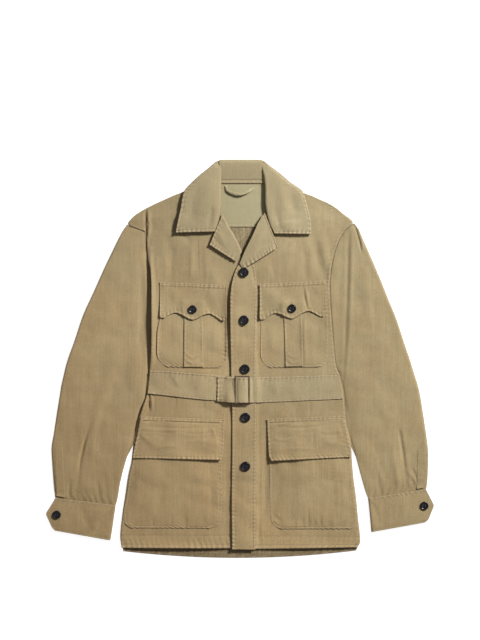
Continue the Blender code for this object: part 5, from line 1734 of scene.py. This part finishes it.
@dataclass
class Pockets(Assembly):
    """Chest pockets with pleats and scalloped flaps, and hip pockets with plain flaps."""

    flap_right: tuple[tuple[float, float], tuple[float, float]] = ((-164, 157), (-28, 151))
    flap_left: tuple[tuple[float, float], tuple[float, float]] = ((40, 153), (175, 160))
    scallop: tuple[tuple[float, float], ...] = (
        (0.0, 70), (0.025, 73.5), (0.06, 73.5), (0.14, 66.5), (0.235, 61.5), (0.32, 64.5),
        (0.42, 71.5), (0.495, 74.5), (0.57, 70.5), (0.66, 63.5), (0.74, 60.5), (0.83, 65.5),
        (0.92, 73), (0.96, 74), (1.0, 69),
    )
    tack_in: float = 3
    tack_low: float = 4
    tack_high: float = 12

    def make(self) -> None:
        """Lays the pockets."""
        sides = {Edge.A: QUIET_SEAM, Edge.B: EDGE_SEAM, Edge.LAST: POCKET_FOOT}
        for side, pocket, pleat, ends in (
            ("right", CHEST_POCKET_RIGHT, CHEST_PLEAT_RIGHT, self.flap_right),
            ("left", CHEST_POCKET_LEFT, CHEST_PLEAT_LEFT, self.flap_left),
        ):
            self.lay(ClothPiece(
                f"chest_pocket_{side}", Loft(pocket, 2.4), THIN_WALL, sides, puff=1.0, unrest=0.9,
                pinned=True, gap=-0.55, rests_on=(f"front_{side}",), seed=7,
            ))
            low = pleat[1]
            middle = (low.ax + low.bx) / 2, low.ay + self.tack_low
            tack = (
                (low.ax + self.tack_in, low.ay + self.tack_high), middle,
                (low.bx - self.tack_in, low.by + self.tack_high),
            )
            self.lay(ClothPiece(
                f"chest_pleat_{side}", Loft(pleat, 2.2), LINING_WALL,
                {Edge.A: PLEAT_FOLD, Edge.B: PLEAT_FOLD}, puff=0.5,
                rests_on=(f"chest_pocket_{side}",), paths=(tack,), seed=8,
            ))
            self._flap(side, ends)
        seams = {Edge.FIRST: DOUBLE, Edge.A: TOPSTITCH, Edge.B: TOPSTITCH, Edge.LAST: TOPSTITCH}
        for side, pocket, flap in (
            ("right", HIP_POCKET_RIGHT, HIP_FLAP_RIGHT), ("left", HIP_POCKET_LEFT, HIP_FLAP_LEFT)
        ):
            self.lay(ClothPiece(
                f"hip_pocket_{side}", Loft(pocket, 2.5), THIN_WALL, sides, puff=1.5, unrest=0.9,
                pinned=True, gap=-0.5, rests_on=(f"front_{side}",), seed=9,
            ))
            self.lay(ClothPiece(
                f"hip_flap_{side}", Loft(flap, 2.0), FLAP_WALL, seams, puff=0.8,
                flare={Edge.LAST: 0.8}, passes=20, rests_on=(f"hip_pocket_{side}",), seed=10,
            ))

    def _flap(self, side: str, ends: tuple[tuple[float, float], ...]) -> None:
        """Lays a scalloped flap.

        Args:
            side: Right or left.
            ends: Ends of its top edge.
        """
        (x1, y1), (x2, y2) = ends
        rows = []
        for share, depth in self.scallop:
            x, y = x1 + (x2 - x1) * share, y1 + (y2 - y1) * share
            rows.append((x, y, x, y - depth))
        end = QUIET_SEAM if side == "right" else TOPSTITCH
        seams = {Edge.A: DOUBLE, Edge.B: TOPSTITCH, Edge.FIRST: end, Edge.LAST: QUIET_SEAM}
        self.lay(ClothPiece(
            f"chest_flap_{side}", Loft(table(*rows), 2.0), CLOTH_WALL, seams, puff=0.7,
            flare={Edge.B: 1.8}, gap=-0.45, passes=20,
            rests_on=(f"chest_pocket_{side}", f"chest_pleat_{side}"), seed=11,
        ))


@dataclass
class Belt(Assembly):
    """Belt parts and slide buckle."""

    wall: float = 1.05
    bar_wall: float = 1.3
    slack: float = 0.15
    bars_x: tuple[float, ...] = (-10.8, -8.6, 3.2, 5.4, 17.6, 19.8)
    bars_y: tuple[float, ...] = (-92.6, -90.4, -37.2, -35.0)
    left: tuple[tuple[float, ...], ...] = (
        (-46, -35.4, -47, -87, 0), (-30, -37, -30, -88.6, 0), (-20, -38, -20, -89.2, 0),
        (-13, -38.2, -13, -89.4, 0), (-8, -38.2, -8, -89.4, 0), (-2.5, -38.2, -2.5, -89.4, 1),
        (4.5, -38.2, 4.5, -89.4, 1.25), (11.5, -38.2, 11.5, -89.4, 1), (17, -38.2, 17, -89.4, 0),
        (22, -38.2, 22, -89.4, 0), (30, -38, 30, -89.6, 0), (56, -37.4, 56, -89, 0),
        (82, -37, 82, -88, 0), (113, -36, 113, -86.6, 0), (144, -35, 144, -85, 0),
        (175, -34, 180, -83.6, 0), (202, -33, 211.4, -82, 0),
    )
    bed_y: tuple[float, float] = (-93.4, -34.2)
    threaded: tuple[float, float] = (-15, 24)
    windows: tuple[tuple[int, int], ...] = ((1, 1), (3, 1))
    bar_round: float = 0.7
    sharp_angle: float = 0.5

    def make(self) -> None:
        """Lays the belt and threads it through the buckle."""
        edges = {Edge.A: BELT_SEAM, Edge.B: FAINT_SEAM}
        self.lay(ClothPiece(
            "belt_right", Loft(BELT_RIGHT, 1.9), self.wall, edges, "facing", unrest=0.6, puff=0.3,
            flare={Edge.B: 0.8}, passes=24, rests_on=("front_right", "front_band"), seed=12,
        ))
        bed_x = np.linspace(self.bars_x[0], self.bars_x[-1], 18)
        level = float(self.stack.top(*np.meshgrid(bed_x, np.linspace(*self.bed_y, 30))).max())
        strap = level + self.slack + self.wall / 2
        base = strap + self.wall / 2 + self.slack
        over = base + self.bar_wall + self.slack + self.wall / 2
        first, last = self.threaded
        rows = [
            (ax, ay, bx, by, 0, strap + (over - strap) * weave if first < ax < last else 0, 0)
            for ax, ay, bx, by, weave in self.left
        ]
        self.lay(ClothPiece(
            "belt_left", Loft(table(*rows), 1.9), self.wall, {**edges, Edge.FIRST: BELT_SEAM},
            "facing", unrest=0.5, flare={Edge.B: 0.35}, gap=self.slack, passes=16,
            rests_on=("front_left", "belt_right"), seed=13,
        ))
        self._buckle(base)

    def _buckle(self, base: float) -> None:
        """Makes the flat frame with rounded bars.

        Args:
            base: Height of its underside.
        """
        shape = bmesh.new()
        corners = {
            (i, j): shape.verts.new((x * MM, y * MM, base * MM))
            for i, x in enumerate(self.bars_x) for j, y in enumerate(self.bars_y)
        }
        for i in range(len(self.bars_x) - 1):
            for j in range(len(self.bars_y) - 1):
                if (i, j) not in self.windows:
                    ring = ((i, j), (i, j + 1), (i + 1, j + 1), (i + 1, j))
                    shape.faces.new([corners[corner] for corner in ring])
        raised = bmesh.ops.extrude_face_region(shape, geom=list(shape.faces))
        lifted = [item for item in raised["geom"] if isinstance(item, bmesh.types.BMVert)]
        bmesh.ops.translate(shape, vec=(0, 0, self.bar_wall * MM), verts=lifted)
        bmesh.ops.recalc_face_normals(shape, faces=shape.faces)
        sharp = [edge for edge in shape.edges if edge.calc_face_angle(0) > self.sharp_angle]
        bmesh.ops.bevel(
            shape, geom=sharp, offset=self.bar_round * MM, segments=3, profile=0.6, affect="EDGES"
        )
        mesh = take_mesh(shape, "buckle_frame")
        smooth(mesh, self.shop.materials["metal"])
        add_piece("buckle_frame", mesh, "buckle", "buckle")
        LOG.info("buckle_frame: base at %.1f mm", base)


@dataclass
class Sleeves(Assembly):
    """Sleeves as tubes, plackets and cuffs."""

    roll: float = 5.0
    deep_roll: float = 9.0
    soft_roll: float = 38.0
    tuck: float = 8.0
    sink: float = 6.0
    under_edge: float = 372.0
    sunk_in: float = 4.0
    sunk_level: float = 2.2

    def make(self, side: str) -> None:
        """Lays one sleeve.

        Args:
            side: Right or left.
        """
        sleeve, cuff, placket, seam_roll, puff = {
            "right": (SLEEVE_RIGHT, CUFF_RIGHT, PLACKET_RIGHT, self.deep_roll, 1.0),
            "left": (SLEEVE_LEFT, CUFF_LEFT, PLACKET_LEFT, self.soft_roll, 0.2),
        }[side]
        under = tuple(one._replace(za=0, zm=0, zb=0) for one in sleeve)
        hidden = self._sink(sleeve, cuff)
        top = Loft(hidden, 3.0, roll_a=self.roll, roll_b=seam_roll, tuck=self.tuck)
        self.shop.make(
            self.stack,
            ClothPiece(f"sleeve_{side}_under", Loft(under, 12.0), unrest=0.0),
            ClothPiece(
                f"sleeve_{side}_top", top, seams={Edge.LAST: CUFF_GATHER}, unrest=1.1, puff=puff,
                calm=11.0, seed=14,
            ),
            name=f"sleeve_{side}",
        )
        edge = math.copysign(self.under_edge, cuff[0].ax)
        inner = tuple(self._cut_short(one, edge) for one in cuff)
        seams = {Edge.FIRST: CUFF_SEAM, Edge.A: FAINT_SEAM, Edge.LAST: FAINT_SEAM}
        self.shop.make(
            HeightField(),
            ClothPiece(f"cuff_{side}_under", Loft(inner, 6.0), unrest=0.0),
            ClothPiece(
                f"cuff_{side}", Loft(cuff, 2.0, roll_b=self.roll, straight=True), FLAP_WALL, seams,
                unrest=0.8, puff=0.8, seed=15,
            ),
            name=f"cuff_{side}", onto=self.stack,
        )
        self.lay(ClothPiece(
            f"sleeve_placket_{side}", Loft(placket, 2.0), THIN_WALL, unrest=0.0, gap=-0.8,
            rests_on=(f"sleeve_{side}",), seed=16,
        ))

    def _sink(self, sleeve: Sequence[Section], cuff: Sequence[Section]) -> tuple[Section, ...]:
        """Takes the end of a sleeve on under its cuff.

        Args:
            sleeve: Sections of the sleeve.
            cuff: Sections of the cuff.

        Returns:
            The sections with one more, below the cuff.
        """
        first, last = cuff[0], cuff[-1]
        share = self.sink / math.hypot(last.bx - first.bx, last.by - first.by)
        drop_x, drop_y = (last.bx - first.bx) * share, (last.by - first.by) * share
        inward = math.copysign(self.sunk_in, first.bx - first.ax)
        end = Section(
            first.ax + drop_x + inward, first.ay + drop_y,
            first.bx + drop_x - inward, first.by + drop_y, *([self.sunk_level] * 3),
        )
        return tuple(sleeve) + (end,)

    @staticmethod
    def _cut_short(section: Section, x: float) -> Section:
        """Draws edge a of a section in, level on the ground."""
        share = (x - section.ax) / (section.bx - section.ax)
        return Section(x, section.ay + share * (section.by - section.ay), section.bx, section.by)


@dataclass
class Fastenings(Assembly):
    """Four-hole buttons, their threads and buttonholes."""

    front: tuple[tuple[float, float], ...] = ((8, 177), (8, 79), (10, -21), (11, -120), (11, -220))
    flaps: tuple[tuple[str, float, float], ...] = (("right", -97, 101), ("left", 106, 103))
    cuffs: tuple[tuple[str, float, float], ...] = (("right", -375, -319), ("left", 377, -301))
    front_size: float = 20.0
    small_size: float = 17.5
    sides: int = 48
    profile: tuple[tuple[float, float], ...] = (
        (0.0, 0.0), (0.84, 0.0), (0.93, 0.16), (0.985, 0.55), (1.0, 1.1), (0.99, 1.75),
        (0.955, 2.3), (0.9, 2.62), (0.83, 2.7), (0.76, 2.6), (0.69, 2.28), (0.62, 1.98),
        (0.5, 1.86), (0.0, 1.8),
    )
    hole_place: float = 0.2
    hole_radius: float = 0.95
    hole_sides: int = 14
    drill_depth: float = 8
    sharp_angle: float = 40
    button_gap: float = 0.2
    thread_level: float = 1.95
    thread_shift: float = 0.28
    thread_width: float = 0.34
    buttonhole_up: float = 6
    buttonhole_length: float = 20.0
    buttonhole_pitch: float = 0.8
    buttonhole_sides: tuple[float, float] = (0.25, 1.5)
    buttonhole_lift: float = 0.1
    buttonhole_width: float = 0.4

    def make(self, arms: Mapping[str, HeightField]) -> None:
        """Sews the buttons on.

        Args:
            arms: Field of each sleeve.
        """
        large = self._mesh(self.front_size)
        small = self._mesh(self.small_size)
        for number, (x, y) in enumerate(self.front, 1):
            self._button(f"front_button_{number}", large, self.front_size, x, y, self.stack)
        for side, x, y in self.flaps:
            self._buttonhole(f"flap_buttonhole_{side}", x, y + self.buttonhole_up)
            self._button(f"flap_button_{side}", small, self.small_size, x, y, self.stack)
        for side, x, y in self.cuffs:
            self._button(f"cuff_button_{side}", small, self.small_size, x, y, arms[side])

    def _mesh(self, diameter: float) -> bpy.types.Mesh:
        """Turns a button and drills its holes.

        Args:
            diameter: Its diameter, in millimetres.

        Returns:
            The mesh, with its base at the origin.
        """
        shape = bmesh.new()
        rings = []
        for share, height in self.profile:
            count = 1 if share == 0 else self.sides
            reach = share * diameter / 2 * MM
            turns = [2 * math.pi * k / count for k in range(count)]
            spots = [(reach * math.cos(a), reach * math.sin(a), height * MM) for a in turns]
            rings.append([shape.verts.new(spot) for spot in spots])
        for lower, upper in zip(rings, rings[1:]):
            for k in range(self.sides):
                after = (k + 1) % self.sides
                ends = ((lower, k), (lower, after), (upper, after), (upper, k))
                shape.faces.new(list(dict.fromkeys(ring[at % len(ring)] for ring, at in ends)))
        bmesh.ops.recalc_face_normals(shape, faces=shape.faces)
        drill = bmesh.new()
        for k in range(4):
            angle = math.pi / 4 + k * math.pi / 2
            reach = self.hole_place * diameter * MM
            made = bmesh.ops.create_cone(
                drill, cap_ends=True, segments=self.hole_sides, radius1=self.hole_radius * MM,
                radius2=self.hole_radius * MM, depth=self.drill_depth * MM,
            )
            move = (reach * math.cos(angle), reach * math.sin(angle), 0)
            bmesh.ops.translate(drill, vec=move, verts=made["verts"])
        blank, cutter = (
            bpy.data.objects.new(name, take_mesh(one, name))
            for name, one in (("button_blank", shape), ("button_drill", drill))
        )
        for one in (blank, cutter):
            bpy.context.scene.collection.objects.link(one)
        cut = blank.modifiers.new("holes", "BOOLEAN")
        cut.object = cutter
        cut.operation = "DIFFERENCE"
        graph = bpy.context.evaluated_depsgraph_get()
        mesh = bpy.data.meshes.new_from_object(blank.evaluated_get(graph))
        for one in (blank, cutter):
            bpy.data.objects.remove(one, do_unlink=True)
        smooth(mesh, self.shop.materials["button"])
        mesh.set_sharp_from_angle(angle=math.radians(self.sharp_angle))
        return mesh

    def _button(
        self, node: str, mesh: bpy.types.Mesh, diameter: float, x: float, y: float,
        under: HeightField,
    ) -> None:
        """Sews one button on.

        Args:
            node: The solid that it stands for.
            mesh: The turned button.
            diameter: Its diameter, in millimetres.
            x: Its centre across.
            y: Its centre along.
            under: Field that it lies on.
        """
        turns = np.linspace(0, 2 * math.pi, 24)
        rings = (diameter / 2, diameter / 4)
        rim_x = np.concatenate([x + reach * np.cos(turns) for reach in rings])
        rim_y = np.concatenate([y + reach * np.sin(turns) for reach in rings])
        base = float(under.top(rim_x, rim_y).max()) + self.button_gap
        own = mesh.copy()
        own.transform(Matrix.Translation((x * MM, y * MM, base * MM)))
        add_piece(f"{node}_turned", own, "button", node)
        threads = Threads()
        reach = self.hole_place * diameter * math.sqrt(0.5)
        top = base + self.thread_level
        for shift in (-self.thread_shift, self.thread_shift):
            for place in (x - reach, x + reach):
                threads.bar((place, y - reach + shift, top), (place, y + reach + shift, top))
        threads.build(f"{node}_thread", self.shop.materials["dark_thread"], self.thread_width)
        LOG.info("%s: base at %.1f mm", node, base)

    def _buttonhole(self, name: str, x: float, y: float) -> None:
        """Sews the two sides of a buttonhole.

        Args:
            name: Name of the piece.
            x: Its middle across.
            y: Its middle along.
        """
        threads = Threads()
        inner, outer = self.buttonhole_sides
        half = self.buttonhole_length / 2
        for place in y + np.arange(-half, half, self.buttonhole_pitch):
            level = float(self.stack.top(x, place)) + self.buttonhole_lift
            for side in (-1, 1):
                threads.bar((x + side * inner, place, level), (x + side * outer, place, level))
        threads.build(name, self.shop.materials["thread"], self.buttonhole_width)
        LOG.info("%s: %.0f mm long", name, self.buttonhole_length)


@dataclass
class Studio:
    """Floor, light and camera."""

    camera_height: float = 4.0
    field_height: float = 1.312
    centre_y: float = 0.0794
    key_energy: float = 505.0
    key_size: float = 1.0
    key_place: tuple[float, float, float] = (3.6, 3.3, 3.55)
    world: float = 0.17
    sensor: float = 24.0
    floor_reach: float = 30.0
    floor_drop: float = 0.0004
    floor_glow: float = 0.88

    def make(self) -> None:
        """Builds the studio."""
        self._camera()
        self._floor()
        self._lights()

    def _camera(self) -> None:
        """Places the camera straight above the jacket."""
        data = bpy.data.cameras.new("camera")
        data.sensor_fit = "VERTICAL"
        data.sensor_height = self.sensor
        data.lens = self.sensor * self.camera_height / self.field_height
        data.clip_end = 50.0
        made = bpy.data.objects.new("camera", data)
        made.location = (0.0, self.centre_y, self.camera_height)
        bpy.context.scene.collection.objects.link(made)
        bpy.context.scene.camera = made

    def _floor(self) -> None:
        """Lays a plain white floor."""
        reach = self.floor_reach
        corners = [(-reach, -reach, 0), (reach, -reach, 0), (reach, reach, 0), (-reach, reach, 0)]
        mesh = bpy.data.meshes.new("floor")
        mesh.from_pydata(corners, [], [(0, 1, 2, 3)])
        made = bpy.data.objects.new("floor", mesh)
        made.location.z = -self.floor_drop
        grey = (0.5, 0.5, 0.5, 1)
        white, nodes, shader = start_material("white_floor", grey)
        nodes.fill(shader, {
            "Base Color": grey,
            "Roughness": 0.95,
            "Specular IOR Level": 0.0,
            "Emission Color": (1, 1, 1, 1),
            "Emission Strength": self.floor_glow,
        })
        mesh.materials.append(white)
        bpy.context.scene.collection.objects.link(made)

    def _lights(self) -> None:
        """Sets a soft key light at the upper right and an even fill."""
        data = bpy.data.lights.new("key", "AREA")
        data.shape = "DISK"
        data.size = self.key_size
        data.energy = self.key_energy
        data.color = (1.0, 0.985, 0.96)
        made = bpy.data.objects.new("key", data)
        made.location = self.key_place
        made.rotation_euler = (-Vector(made.location)).to_track_quat("-Z", "Y").to_euler()
        bpy.context.scene.collection.objects.link(made)
        world = bpy.data.worlds.new("studio")
        world.use_nodes = True
        ground = world.node_tree.nodes["Background"]
        ground.inputs["Color"].default_value = (1.0, 1.0, 1.0, 1)
        ground.inputs["Strength"].default_value = self.world
        bpy.context.scene.world = world
        bpy.context.scene.view_settings.view_transform = "Standard"


def main() -> None:
    """Dresses the jacket."""
    logging.basicConfig(level=logging.INFO, format="%(name)s: %(message)s")
    Studio().make()
    shop = Workshop()
    body = HeightField()
    for part in (Body, Neck, Pockets, Belt):
        part(shop, body).make()
    arms = {"right": HeightField(), "left": HeightField()}
    for side, stack in arms.items():
        Sleeves(shop, stack).make(side)
    Fastenings(shop, body).make(arms)


if __name__ == "__main__":
    main()
